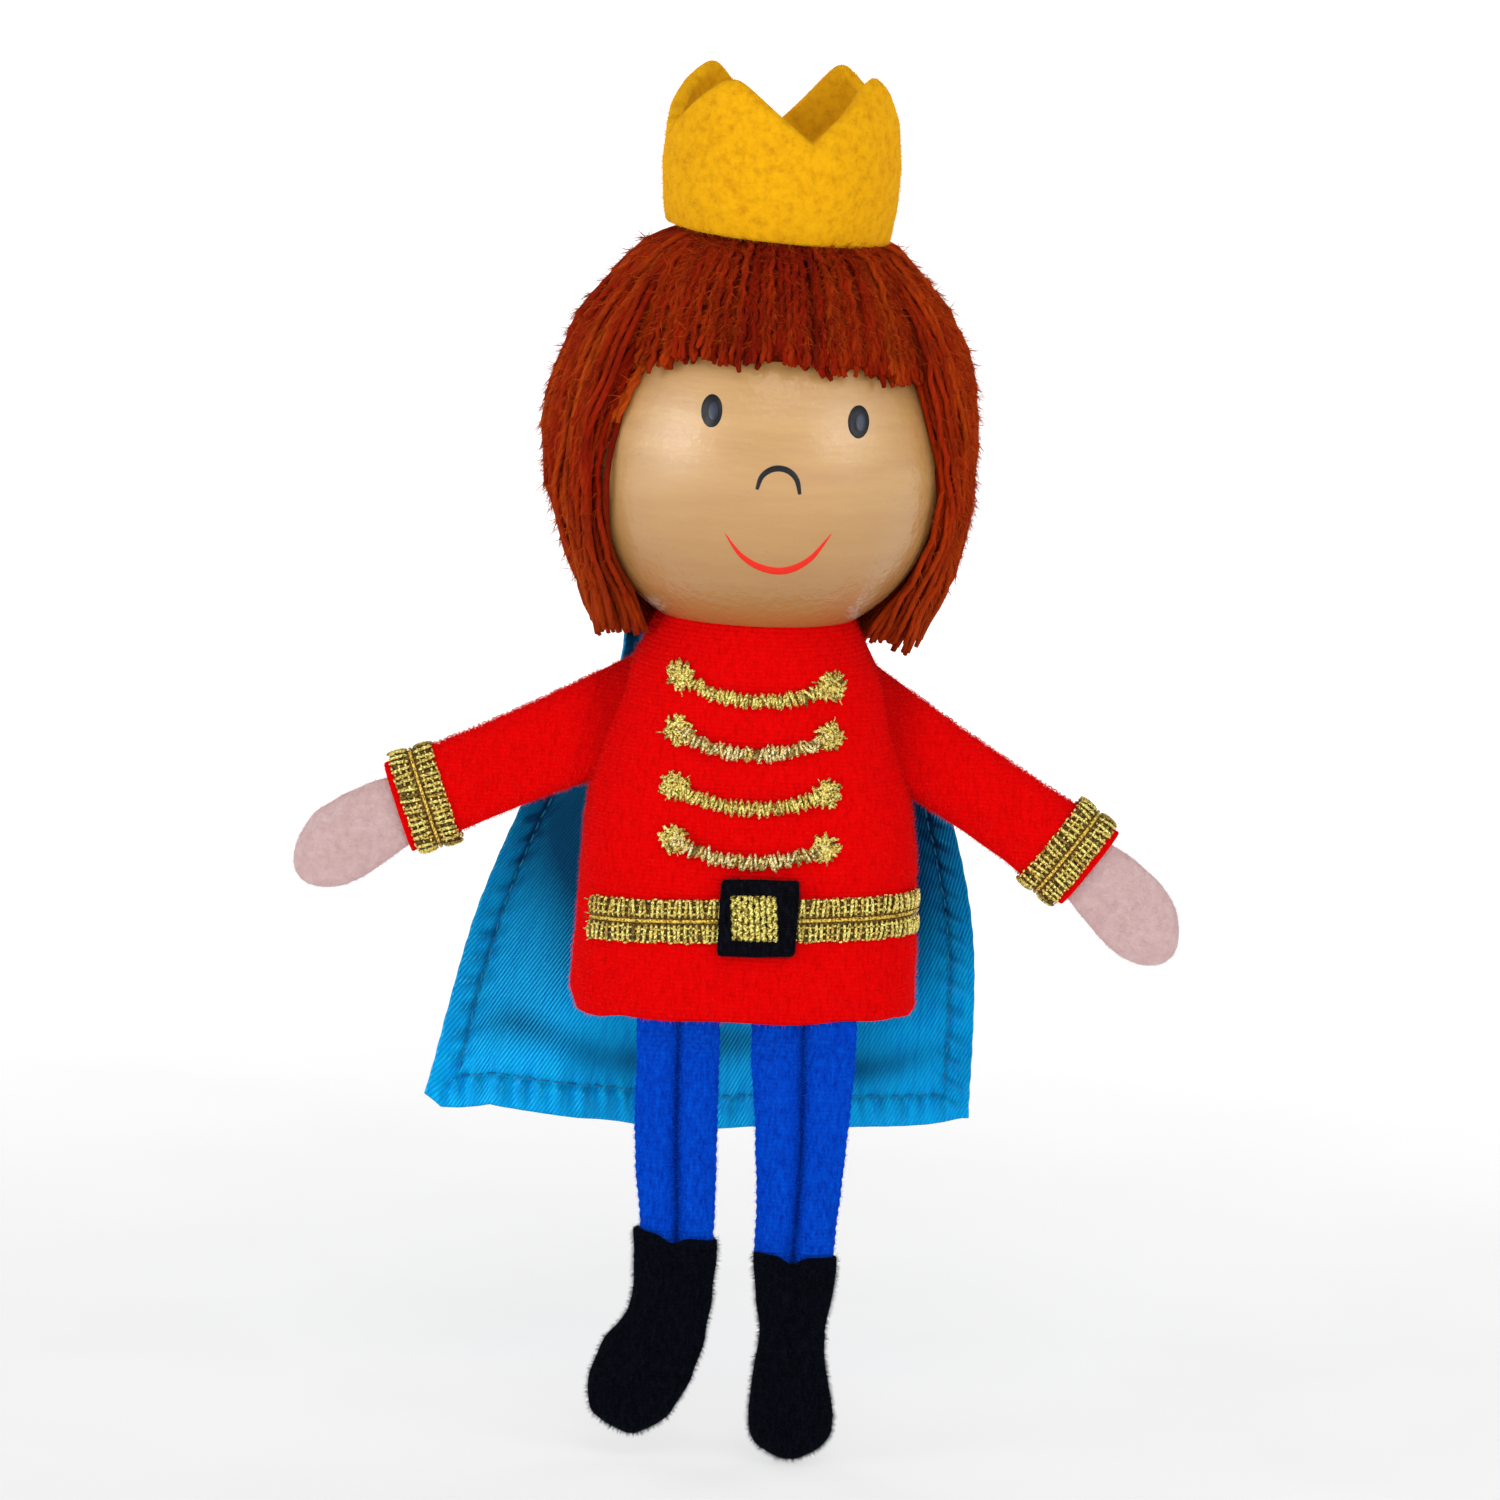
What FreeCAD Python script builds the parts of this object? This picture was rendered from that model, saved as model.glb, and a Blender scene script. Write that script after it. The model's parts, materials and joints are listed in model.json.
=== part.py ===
"""Prince finger puppet: a wooden ball head on a velour tunic, with arms, legs and a cape.

Millimetres, +Z up. The puppet faces -Y, and left and right are its own: left is +X.
The origin is the mouth of the finger bore in the wooden ball, on the bore's axis.
"""

import FreeCAD, Part
import math
import os

import Sketcher

Vector = FreeCAD.Vector
doc = FreeCAD.newDocument("finger_puppet")
sheet = doc.addObject("Spreadsheet::Sheet", "Sizes")

SIZES = {
    # head
    "ball_radius": 20.0,
    "bore_radius": 8.5,
    "bore_depth": 20.0,
    "hair_gap": 0.1,
    "hair_thickness": 3.4,
    "hair_front": 0.5,
    "fringe_drop": 8.6,
    "curtain_inset": 13.6,
    "curtain_drop": 17.0,
    "crown_base": 20.6,
    "crown_height": 20.4,
    "crown_radius": 11.9,
    "crown_flare": 1.0,
    "crown_wall": 1.7,
    "crown_valley": 12.4,
    "crown_notch": 7.9,
    # neck
    "neck_radius": 10.4,
    "neck_centre": 2.5,
    "neck_depth": 5.0,
    "neck_bore": 9.0,
    "fabric_gap": 0.3,
    # tunic
    "tunic_top": 3.2,
    "tunic_bottom": 40.9,
    "tunic_wall": 1.0,
    "collar_half": 11.8,
    "collar_corner": 11.5,
    "shoulder_half": 13.2,
    "shoulder_drop": 4.6,
    "shoulder_corner": 11.0,
    "armpit_half": 17.0,
    "armpit_drop": 17.1,
    "hem_half": 18.2,
    "tunic_half_depth": 11.4,
    "side_corner": 9.0,
    # trim
    "trim_gap": 0.05,
    "belt_height": 5.0,
    "belt_drop": 30.25,
    "belt_thick": 1.0,
    "belt_slack": 0.3,
    "belt_end": 3.5,
    "buckle_drop": 29.75,
    "buckle_size": 8.2,
    "buckle_window": 5.2,
    "buckle_thick": 1.2,
    "buckle_shift": 1.6,
    "buckle_corner": 0.8,
    "window_corner": 0.3,
    "buckle_soft": 0.3,
    "frog_top": 4.5,
    "frog_pitch": 5.75,
    "frog_half": 7.9,
    "frog_sweep": 15.3,
    "frog_radius": 0.75,
    "frog_open": 23.0,
    "frog_lift": 0.9,
    "frog_middle": 0.4,
    "rosette_ring": 0.95,
    "rosette_cord": 0.8,
    # arms
    "arm_thick": 3.6,
    "arm_round": 1.7,
    "pivot_half": 23.9,
    "pivot_drop": 15.2,
    "pivot_radius": 6.0,
    "pivot_back": 3.2,
    "pivot_low": 5.1,
    "right_slope": 26.0,
    "left_slope": 36.0,
    "sleeve_root": 6.0,
    "sleeve_end": 5.5,
    "sleeve_start": 1.9,
    "sleeve_length": 14.85,
    "cuff_width": 4.5,
    "cuff_wall": 0.9,
    "cuff_setback": 0.5,
    "hand_length": 11.6,
    "hand_half": 4.0,
    "hand_thick": 2.2,
    "hand_round": 3.6,
    # legs
    "leg_back": 10.4,
    "leg_thick": 3.6,
    "leg_top": 41.3,
    "leg_bottom": 65.6,
    "leg_tab_height": 7.5,
    "leg_tab_thick": 1.0,
    "leg_tab_reach": 8.8,
    "boot_top": 65.9,
    "boot_thick": 4.6,
    "boot_corner": 1.6,
    "boot_round": 2.1,
    # cape
    "cape_back": 12.6,
    "cape_thick": 3.6,
    "cape_top": 3.9,
    "cape_neck": 10.0,
    "cape_elbow": 19.9,
    "cape_elbow_left": 21.5,
    "cape_elbow_right": 23.1,
    "cape_knee": 38.0,
    "cape_knee_left": 25.2,
    "cape_foot_left": 24.8,
    "cape_foot_right": 33.4,
    "cape_bottom": 56.8,
    "cape_bottom_left": 55.2,
    "cape_bottom_right": 53.4,
    "cape_round": 2.5,
    "cape_soft": 1.5,
}
for row, (name, value) in enumerate(SIZES.items(), start=1):
    sheet.set(f"A{row}", name)
    sheet.set(f"B{row}", str(value))
    sheet.setAlias(f"B{row}", name)
doc.recompute()

# Height of the ball's centre above the mouth of its bore.
BALL_CENTRE = "sqrt(Sizes.ball_radius^2 - Sizes.bore_radius^2)"
# A distance that reaches past the whole puppet, for spaces and cuts.
BEYOND = "100"
# A slack in millimetres for telling lengths apart.
CLOSE = 0.01
nodes = []


def size(expression):
    """The value of an expression in the sheet's sizes."""
    return float(sheet.evalExpression(expression))


def node(thing, label):
    """Names a finished piece, which is written to a file of that name."""
    thing.Label = label
    nodes.append(thing)
    return thing


def primitive(kind, name, **sizes):
    """A Part primitive or boolean, with each size bound to an expression."""
    made = doc.addObject(kind, name)
    for key, expression in sizes.items():
        made.setExpression(key, expression)
    return made


def place(made, x="0", y="0", z="0"):
    """Binds an object's position to expressions."""
    for axis, expression in zip("xyz", (x, y, z)):
        made.setExpression(f"Placement.Base.{axis}", expression)
    return made


def combine(kind, name, base, tool):
    """A Part::Cut or Part::Common of two objects."""
    made = doc.addObject(kind, name)
    made.Base = base
    made.Tool = tool
    return made


def cut(name, base, tool):
    return combine("Part::Cut", name, base, tool)


def common(name, base, tool):
    return combine("Part::Common", name, base, tool)


def ball(name, radius, centre):
    return place(primitive("Part::Sphere", name, Radius=radius), z=centre)


def block(name, low, high):
    """A box between two corners, each given as three expressions."""
    names = ("Length", "Width", "Height")
    spans = {key: f"({b}) - ({a})" for key, a, b in zip(names, low, high)}
    return place(primitive("Part::Box", name, **spans), *low)


# ---------------------------------------------------------------- sketches


def body_sketch(body, name, plane, offset="0"):
    """A sketch on one of the body's own origin planes, moved along its normal."""
    sketch = body.newObject("Sketcher::SketchObject", name)
    face = next(f for f in body.Origin.OriginFeatures if f.Role == plane)
    sketch.AttachmentSupport = [(face, "")]
    sketch.MapMode = "FlatFace"
    sketch.setExpression("AttachmentOffset.Base.z", offset)
    return sketch


def bind(sketch, constraint, name, expression):
    index = sketch.addConstraint(constraint)
    sketch.renameConstraint(index, name)
    sketch.setExpression(f"Constraints.{name}", expression)


def fix_point(sketch, edge, end, name, across, up):
    """Binds both coordinates of a point, with signed distances from the sketch's origin."""
    make = Sketcher.Constraint
    x, y = size(across), size(up)
    bind(sketch, make("DistanceX", -1, 1, edge, end, x), f"{name}_x", across)
    bind(sketch, make("DistanceY", -1, 1, edge, end, y), f"{name}_y", up)


def outline(body, name, plane, points, offset="0"):
    """A closed outline of straight edges whose corners are pairs of expressions."""
    sketch = body_sketch(body, name, plane, offset)
    spots = [Vector(size(x), size(y), 0) for x, y in points]
    for i, spot in enumerate(spots):
        sketch.addGeometry(Part.LineSegment(spot, spots[(i + 1) % len(spots)]))
    for i in range(len(spots)):
        sketch.addConstraint(Sketcher.Constraint("Coincident", i, 2, (i + 1) % len(spots), 1))
    for i, (x, y) in enumerate(points):
        fix_point(sketch, i, 1, f"corner{i}", x, y)
    return sketch


def circle(body, name, plane, across, up, radius, offset="0"):
    sketch = body_sketch(body, name, plane, offset)
    spot = Vector(size(across), size(up), 0)
    sketch.addGeometry(Part.Circle(spot, Vector(0, 0, 1), size(radius)))
    bind(sketch, Sketcher.Constraint("Radius", 0, size(radius)), "radius", radius)
    fix_point(sketch, 0, 3, "centre", across, up)
    return sketch


def rounded(sketch, half_width, half_depth, corner, tag=""):
    """Adds a rectangle with round corners, centred on the sketch's origin."""
    first = sketch.GeometryCount
    make = Sketcher.Constraint
    a, b, r = size(half_width), size(half_depth), size(corner)
    centres = [(a - r, b - r), (r - a, b - r), (r - a, r - b), (a - r, r - b)]
    for turn, (x, y) in enumerate(centres):
        arc = Part.Circle(Vector(x, y, 0), Vector(0, 0, 1), r)
        start = turn * math.pi / 2
        sketch.addGeometry(Part.ArcOfCircle(arc, start, start + math.pi / 2))
    ends = [((a - r, b), (r - a, b)), ((-a, b - r), (-a, r - b))]
    ends += [((r - a, -b), (a - r, -b)), ((a, r - b), (a, b - r))]
    for (x0, y0), (x1, y1) in ends:
        sketch.addGeometry(Part.LineSegment(Vector(x0, y0, 0), Vector(x1, y1, 0)))
    for turn in range(4):
        arc, line = first + turn, first + 4 + turn
        sketch.addConstraint(make("Tangent", arc, 2, line, 1))
        sketch.addConstraint(make("Tangent", line, 2, first + (turn + 1) % 4, 1))
    sketch.addConstraint(make("Horizontal", first + 4))
    sketch.addConstraint(make("Vertical", first + 5))
    for turn in range(1, 4):
        sketch.addConstraint(make("Equal", first, first + turn))
    bind(sketch, make("Radius", first, r), f"corner{tag}", corner)
    top, left = first + 4, first + 5
    bind(sketch, make("DistanceY", -1, 1, top, 1, b), f"depth{tag}", half_depth)
    bind(sketch, make("DistanceX", left, 1, -1, 1, a), f"width{tag}", half_width)
    bottom, right = first + 6, first + 7
    bind(sketch, make("DistanceY", bottom, 1, -1, 1, b), f"back{tag}", half_depth)
    bind(sketch, make("DistanceX", -1, 1, right, 1, a), f"side{tag}", half_width)


def pad(body, name, sketch, length, midplane=False):
    made = body.newObject("PartDesign::Pad", name)
    made.Profile = sketch
    made.setExpression("Length", length)
    made.Midplane = midplane
    return made


def slot(body, name, sketch, length, midplane=True):
    made = body.newObject("PartDesign::Pocket", name)
    made.Profile = sketch
    made.setExpression("Length", length)
    made.Midplane = midplane
    doc.recompute()
    return made


def loft(body, kind, name, sketches):
    made = body.newObject(kind, name)
    made.Profile = sketches[0]
    made.Sections = sketches[1:]
    made.Ruled = True
    return made


def round_edges(body, base, name, radius, wanted):
    """Fillets the edges of a feature that the test picks out."""
    doc.recompute()
    edges = base.Shape.Edges
    picked = [f"Edge{i}" for i, edge in enumerate(edges, start=1) if wanted(edge)]
    made = body.newObject("PartDesign::Fillet", name)
    made.Base = (base, picked)
    made.setExpression("Radius", radius)
    return made


def edge_ends(edge):
    return [v.Point for v in edge.Vertexes]


def flat_in_y(edge):
    """True for an edge that stays at one y, as round the rim of a pad made along Y."""
    box = edge.BoundBox
    return box.YLength < CLOSE


def along_y(edge):
    """True for a straight edge parallel to Y."""
    box = edge.BoundBox
    return box.YLength > CLOSE and box.XLength < CLOSE and box.ZLength < CLOSE


# ---------------------------------------------------------------- head


def make_ball():
    sphere = ball("wood", "Sizes.ball_radius", BALL_CENTRE)
    bore = primitive(
        "Part::Cylinder",
        "bore",
        Radius="Sizes.bore_radius",
        Height="Sizes.bore_depth + Sizes.ball_radius",
    )
    place(bore, z="-Sizes.ball_radius")
    node(cut("drilled_ball", sphere, bore), "head_ball")


def make_hair():
    """Four pieces of one shell of yarn round the ball: fringe, two curtains and back."""
    inner = "Sizes.ball_radius + Sizes.hair_gap"
    outer = f"{inner} + Sizes.hair_thickness"
    wide = BEYOND
    level = BALL_CENTRE
    front = "Sizes.hair_front"
    fringe = f"{level} + Sizes.fringe_drop"
    low = f"{level} - Sizes.curtain_drop"
    side = "Sizes.curtain_inset"
    top = f"{level} + {wide}"
    pieces = {
        "hair_fringe": ((f"-{wide}", f"-{wide}", fringe), (wide, front, top)),
        "hair_back": ((f"-{wide}", front, low), (wide, wide, top)),
        "hair_left": ((side, f"-{wide}", low), (wide, front, fringe)),
        "hair_right": ((f"-{wide}", f"-{wide}", low), (f"-{side}", front, fringe)),
    }
    for label, (start, end) in pieces.items():
        shell = cut(
            f"{label}_shell",
            ball(f"{label}_outer", outer, level),
            ball(f"{label}_inner", inner, level),
        )
        node(common(f"{label}_piece", shell, block(f"{label}_space", start, end)), label)


def make_crown():
    """A flared ring of thick felt, notched into four points."""
    body = doc.addObject("PartDesign::Body", "crown_body")
    base = f"{BALL_CENTRE} + Sizes.crown_base"
    radius, wall, flare = "Sizes.crown_radius", "Sizes.crown_wall", "Sizes.crown_flare"
    scalp = "(Sizes.ball_radius + Sizes.hair_gap + Sizes.hair_thickness + Sizes.trim_gap)"
    inner_foot = f"{BALL_CENTRE} + sqrt({scalp}^2 - ({radius} - {wall})^2)"
    outer_foot = f"{BALL_CENTRE} + sqrt({scalp}^2 - {radius}^2)"
    top = f"{base} + Sizes.crown_height"
    wall_section = outline(
        body,
        "wall_section",
        "XZ_Plane",
        [
            (f"{radius} - {wall}", inner_foot),
            (radius, outer_foot),
            (f"{radius} + {flare}", top),
            (f"{radius} + {flare} - {wall}", top),
        ],
    )
    ring = body.newObject("PartDesign::Revolution", "ring")
    ring.Profile = wall_section
    ring.ReferenceAxis = (wall_section, ["V_Axis"])
    ring.Angle = 360
    doc.recompute()
    valley = f"{base} + Sizes.crown_valley"
    above = f"{top} + Sizes.crown_wall"
    notch = outline(
        body,
        "notch",
        "XZ_Plane",
        [
            ("0", valley),
            ("Sizes.crown_notch", top),
            ("Sizes.crown_notch", above),
            ("-Sizes.crown_notch", above),
            ("-Sizes.crown_notch", top),
        ],
    )
    gap = slot(body, "gap", notch, f"2 * {BEYOND}")
    turned = body.newObject("PartDesign::PolarPattern", "four_gaps")
    turned.Originals = [gap]
    turned.Axis = (wall_section, ["V_Axis"])
    turned.Angle = 90
    turned.Occurrences = 2
    body.Tip = turned
    node(body, "crown")


# ---------------------------------------------------------------- neck and tunic


def make_neck():
    """The tunic's glued neck edge, a zone of a sphere that nods inside the collar."""
    centre = "-Sizes.neck_centre"
    zone = ball("neck_zone", "Sizes.neck_radius", centre)
    bore = primitive("Part::Cylinder", "neck_way", Radius="Sizes.neck_bore", Height=f"2 * {BEYOND}")
    place(bore, z=f"-{BEYOND}")
    ring = cut("neck_ring", zone, bore)
    seat = ball("neck_seat", "Sizes.ball_radius + Sizes.fabric_gap", BALL_CENTRE)
    cupped = cut("neck_cupped", ring, seat)
    low = (f"-{BEYOND}", f"-{BEYOND}", "-Sizes.neck_depth")
    space = block("neck_space", low, (BEYOND, BEYOND, BEYOND))
    node(common("neck_piece", cupped, space), "neck_hem")


# The tunic's sections: drop below the origin, half width, half depth and corner radius.
TUNIC_SECTIONS = [
    ("tunic_top", "collar_half", "collar_half", "collar_corner"),
    ("shoulder_drop", "shoulder_half", "tunic_half_depth", "shoulder_corner"),
    ("armpit_drop", "armpit_half", "tunic_half_depth", "side_corner"),
    ("tunic_bottom", "hem_half", "tunic_half_depth", "side_corner"),
]


def tunic_sketches(body, tag, inset, overrun="0"):
    made = []
    last = len(TUNIC_SECTIONS) - 1
    for i, (drop, wide, deep, corner) in enumerate(TUNIC_SECTIONS):
        beyond = {0: f" + {overrun}", last: f" - {overrun}"}.get(i, "")
        sketch = body_sketch(body, f"{tag}{i}", "XY_Plane", f"-Sizes.{drop}{beyond}")
        rounded(
            sketch,
            f"Sizes.{wide} - {inset}",
            f"Sizes.{deep} - {inset}",
            f"Sizes.{corner} - {inset}",
        )
        made.append(sketch)
    return made


def make_tunic_panel(label, keep):
    """One panel of the tunic tube, which is seamed to the other along both sides."""
    body = doc.addObject("PartDesign::Body", f"{label}_body")
    loft(body, "PartDesign::AdditiveLoft", "outside", tunic_sketches(body, "out", "0"))
    doc.recompute()
    inside = tunic_sketches(body, "in", "Sizes.tunic_wall", str(CLOSE))
    loft(body, "PartDesign::SubtractiveLoft", "inside", inside)
    doc.recompute()
    far = f"{-keep} * {BEYOND}"
    corners = [(f"-{BEYOND}", "0"), (BEYOND, "0"), (BEYOND, far), (f"-{BEYOND}", far)]
    other = outline(body, "other_half", "XY_Plane", corners)
    slot(body, "seam", other, f"2 * {BEYOND}")
    node(body, label)


def make_belt():
    """A braid band round the tunic's front, with the buckle frame over it."""
    body = doc.addObject("PartDesign::Body", "belt_body")
    low = "-Sizes.belt_drop - Sizes.belt_height / 2"
    sketch = body_sketch(body, "band", "XY_Plane", low)
    inner = "Sizes.trim_gap"
    outer = f"{inner} + Sizes.belt_thick"
    wide = "Sizes.hem_half - Sizes.belt_slack"
    for tag, grow in (("_out", outer), ("_in", inner)):
        corner = f"Sizes.side_corner + {grow}"
        rounded(sketch, f"{wide} + {grow}", f"Sizes.tunic_half_depth + {grow}", corner, tag)
    pad(body, "band_pad", sketch, "Sizes.belt_height")
    doc.recompute()
    end = "-Sizes.belt_end"
    corners = [(f"-{BEYOND}", end), (BEYOND, end), (BEYOND, BEYOND), (f"-{BEYOND}", BEYOND)]
    rear = outline(body, "rear", "XY_Plane", corners)
    slot(body, "open_back", rear, f"2 * {BEYOND}")
    node(body, "belt")

    body = doc.addObject("PartDesign::Body", "buckle_body")
    front = "Sizes.tunic_half_depth + Sizes.belt_thick + 2 * Sizes.trim_gap"
    sketch = body_sketch(body, "frame", "XZ_Plane", front)
    half, hole = "Sizes.buckle_size / 2", "Sizes.buckle_window / 2"
    rounded(sketch, half, half, "Sizes.buckle_corner", "_out")
    rounded(sketch, hole, hole, "Sizes.window_corner", "_in")
    frame = pad(body, "frame_pad", sketch, "Sizes.buckle_thick")
    body.Tip = round_edges(body, frame, "soft_edges", "Sizes.buckle_soft", flat_in_y)
    place(body, x="Sizes.buckle_shift", z="-Sizes.buckle_drop")
    node(body, "buckle")


def make_frogging():
    """Four swags of gold braid, each between two rosettes."""
    front = "-Sizes.tunic_half_depth - Sizes.frog_lift"
    upright = FreeCAD.Rotation(Vector(1, 0, 0), 90)
    for row in range(4):
        level = f"-Sizes.frog_top - {row} * Sizes.frog_pitch"
        swag = primitive(
            "Part::Torus",
            f"swag{row}",
            Radius1="Sizes.frog_sweep",
            Radius2="Sizes.frog_radius",
            Angle3="2 * Sizes.frog_open",
        )
        turn = FreeCAD.Rotation(Vector(0, 1, 0), 90 + size("Sizes.frog_open"))
        swag.Placement = FreeCAD.Placement(Vector(), turn * upright)
        rise = "sqrt(Sizes.frog_sweep^2 - Sizes.frog_half^2)"
        place(swag, "Sizes.frog_middle", front, f"{level} + {rise}")
        node(swag, f"frog_{row + 1}")
        for side, mark in (("left", ""), ("right", "-")):
            ring = primitive(
                "Part::Torus",
                f"ring{row}{side}",
                Radius1="Sizes.rosette_ring",
                Radius2="Sizes.rosette_cord",
            )
            ring.Placement = FreeCAD.Placement(Vector(), upright)
            place(ring, f"{mark}Sizes.frog_half + Sizes.frog_middle", front, level)
            node(ring, f"rosette_{row + 1}_{side}")


# ---------------------------------------------------------------- arms


def upright_pad(label, points, thick, depth="0"):
    """A body padded both ways from an upright outline, seen from the front."""
    body = doc.addObject("PartDesign::Body", f"{label}_body")
    sketch = outline(body, "shape", "XZ_Plane", points, depth)
    return body, pad(body, "thickness", sketch, thick, midplane=True)


def make_shoulder(side, mark):
    """The sleeve's root: it folds along the side seam and ends in a round for the sleeve."""
    label = f"shoulder_{side}"
    gap = "Sizes.fabric_gap"
    corners = [
        (f"Sizes.shoulder_half + {gap}", "-Sizes.shoulder_drop"),
        ("Sizes.pivot_half", "Sizes.pivot_radius - Sizes.pivot_drop"),
        ("Sizes.pivot_half - Sizes.pivot_back", "-Sizes.pivot_drop - Sizes.pivot_low"),
        (f"Sizes.armpit_half + {gap}", "-Sizes.armpit_drop"),
    ]
    points = [(f"{mark}({x})", z) for x, z in corners]
    body, plate = upright_pad(label, points, "Sizes.arm_thick")

    def at_seam(edge):
        """True for the two long edges beside the tunic."""
        limit = size("Sizes.armpit_half + Sizes.fabric_gap") + CLOSE
        near = all(abs(p.x) < limit for p in edge_ends(edge))
        return flat_in_y(edge) and near

    body.Tip = round_edges(body, plate, "seam_round", "Sizes.arm_round", at_seam)
    doc.recompute()
    disc = circle(
        body,
        "disc",
        "XZ_Plane",
        f"{mark}Sizes.pivot_half",
        "-Sizes.pivot_drop",
        "Sizes.pivot_radius",
    )
    body.Tip = pad(body, "disc_pad", disc, "Sizes.arm_thick", midplane=True)
    node(body, label)


def arm_placement(side):
    """The sleeve's frame: origin at its pivot, X along the sleeve, Y kept to the side seam."""
    slope = size(f"Sizes.{side}_slope")
    sign = 1 if side == "left" else -1
    spot = Vector(sign * size("Sizes.pivot_half"), 0, -size("Sizes.pivot_drop"))
    down = FreeCAD.Rotation(Vector(0, 1, 0), slope)
    about = FreeCAD.Rotation(Vector(0, 0, 1), 0 if side == "left" else 180)
    return FreeCAD.Placement(spot, about * down)


def make_sleeve(side):
    body = doc.addObject("PartDesign::Body", f"sleeve_{side}_body")
    root, end = "Sizes.sleeve_root", "Sizes.sleeve_end"
    start, far = "Sizes.sleeve_start", "Sizes.sleeve_length"
    sketch = outline(
        body,
        "shape",
        "XZ_Plane",
        [(start, root), (far, end), (far, f"-{end}"), (start, f"-{root}")],
    )
    cloth = pad(body, "thickness", sketch, "Sizes.arm_thick", midplane=True)

    def long_side(edge):
        return flat_in_y(edge) and edge.BoundBox.XLength > CLOSE

    round_edges(body, cloth, "soft_sides", "Sizes.arm_round", long_side)
    doc.recompute()
    reach = "Sizes.pivot_radius + Sizes.fabric_gap"
    socket = circle(body, "socket", "XZ_Plane", "0", "0", reach)
    body.Tip = slot(body, "socket_cut", socket, BEYOND)
    body.Placement = arm_placement(side)
    node(body, f"sleeve_{side}")


def make_cuff(side):
    """A braid band round the end of the sleeve."""
    body = doc.addObject("PartDesign::Body", f"cuff_{side}_body")
    far = "Sizes.sleeve_length - Sizes.cuff_setback"
    sketch = body_sketch(body, "band", "YZ_Plane", f"{far} - Sizes.cuff_width")
    slack = "(Sizes.sleeve_root - Sizes.sleeve_end) / 2 + Sizes.trim_gap"
    half_wide = f"Sizes.sleeve_end + {slack}"
    half_thick = "Sizes.arm_thick / 2 + Sizes.trim_gap"
    corner = "Sizes.arm_round"
    wall = "Sizes.cuff_wall"
    rounded(sketch, f"{half_thick} + {wall}", f"{half_wide} + {wall}", f"{corner} + {wall}", "_o")
    rounded(sketch, half_thick, half_wide, corner, "_i")
    pad(body, "band_pad", sketch, "Sizes.cuff_width")
    body.Placement = arm_placement(side)
    node(body, f"cuff_{side}")


def make_hand(side):
    body = doc.addObject("PartDesign::Body", f"hand_{side}_body")
    near = "Sizes.sleeve_length + Sizes.fabric_gap"
    far = f"{near} + Sizes.hand_length"
    half = "Sizes.hand_half"
    sketch = outline(
        body,
        "shape",
        "XZ_Plane",
        [(near, half), (far, half), (far, f"-{half}"), (near, f"-{half}")],
    )
    felt = pad(body, "thickness", sketch, "Sizes.hand_thick", midplane=True)

    def tip_corner(edge):
        return along_y(edge) and edge.BoundBox.XMin > size(far) - CLOSE

    tips = round_edges(body, felt, "finger_round", "Sizes.hand_round", tip_corner)

    body.Tip = round_edges(body, tips, "soft_rim", "Sizes.hand_thick / 2 - Sizes.trim_gap", flat_in_y)
    body.Placement = arm_placement(side)
    node(body, f"hand_{side}")


# ---------------------------------------------------------------- legs

# Each leg's edges across, and each boot's outline across and up from the origin. None is its top.
LEG_WIDTHS = {
    "right": {"top": (-10.7, -1.9), "foot": (-9.4, -1.2)},
    "left": {"top": (1.35, 12.2), "foot": (2.9, 11.9)},
}
BOOT_OUTLINES = {
    "right": [
        (-9.3, None),
        (-1.1, None),
        (-1.9, -72.5),
        (-5.4, -85.2),
        (-10.0, -86.8),
        (-14.3, -83.6),
        (-13.2, -79.4),
        (-9.6, -74.5),
    ],
    "left": [
        (3.0, None),
        (11.9, None),
        (10.4, -73.5),
        (11.8, -82.0),
        (10.6, -88.4),
        (4.6, -88.4),
        (3.2, -82.5),
        (3.9, -74.0),
    ],
}


def make_leg(side):
    front = "Sizes.leg_back"
    top, bottom = "-Sizes.leg_top", "-Sizes.leg_bottom"
    (left, right), (low_left, low_right) = (LEG_WIDTHS[side][k] for k in ("top", "foot"))
    points = [(str(left), top), (str(right), top)]
    points += [(str(low_right), bottom), (str(low_left), bottom)]
    body, cloth = upright_pad(f"leg_{side}", points, "Sizes.leg_thick", front)
    body.Tip = round_edges(body, cloth, "soft_rim", "Sizes.arm_round", flat_in_y)
    node(body, f"leg_{side}")

    inner = "-Sizes.tunic_half_depth + Sizes.tunic_wall + Sizes.trim_gap"
    reach = size("Sizes.leg_tab_reach")
    low = (str(max(left, -reach)), inner, "-Sizes.tunic_bottom")
    behind = f"{inner} + Sizes.leg_tab_thick"
    high = (str(min(right, reach)), behind, "-Sizes.tunic_bottom + Sizes.leg_tab_height")
    node(block(f"tab_{side}", low, high), f"leg_tab_{side}")


def make_boot(side):
    top = "-Sizes.boot_top"
    points = [(str(x), top if z is None else str(z)) for x, z in BOOT_OUTLINES[side]]
    body, cloth = upright_pad(f"boot_{side}", points, "Sizes.boot_thick", "Sizes.leg_back")

    def low_corner(edge):
        return along_y(edge) and edge.BoundBox.ZMax < size(top) - CLOSE

    corners = round_edges(body, cloth, "soft_outline", "Sizes.boot_corner", low_corner)
    body.Tip = round_edges(body, corners, "soft_rim", "Sizes.boot_round", flat_in_y)
    node(body, f"boot_{side}")


# ---------------------------------------------------------------- cape


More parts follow.
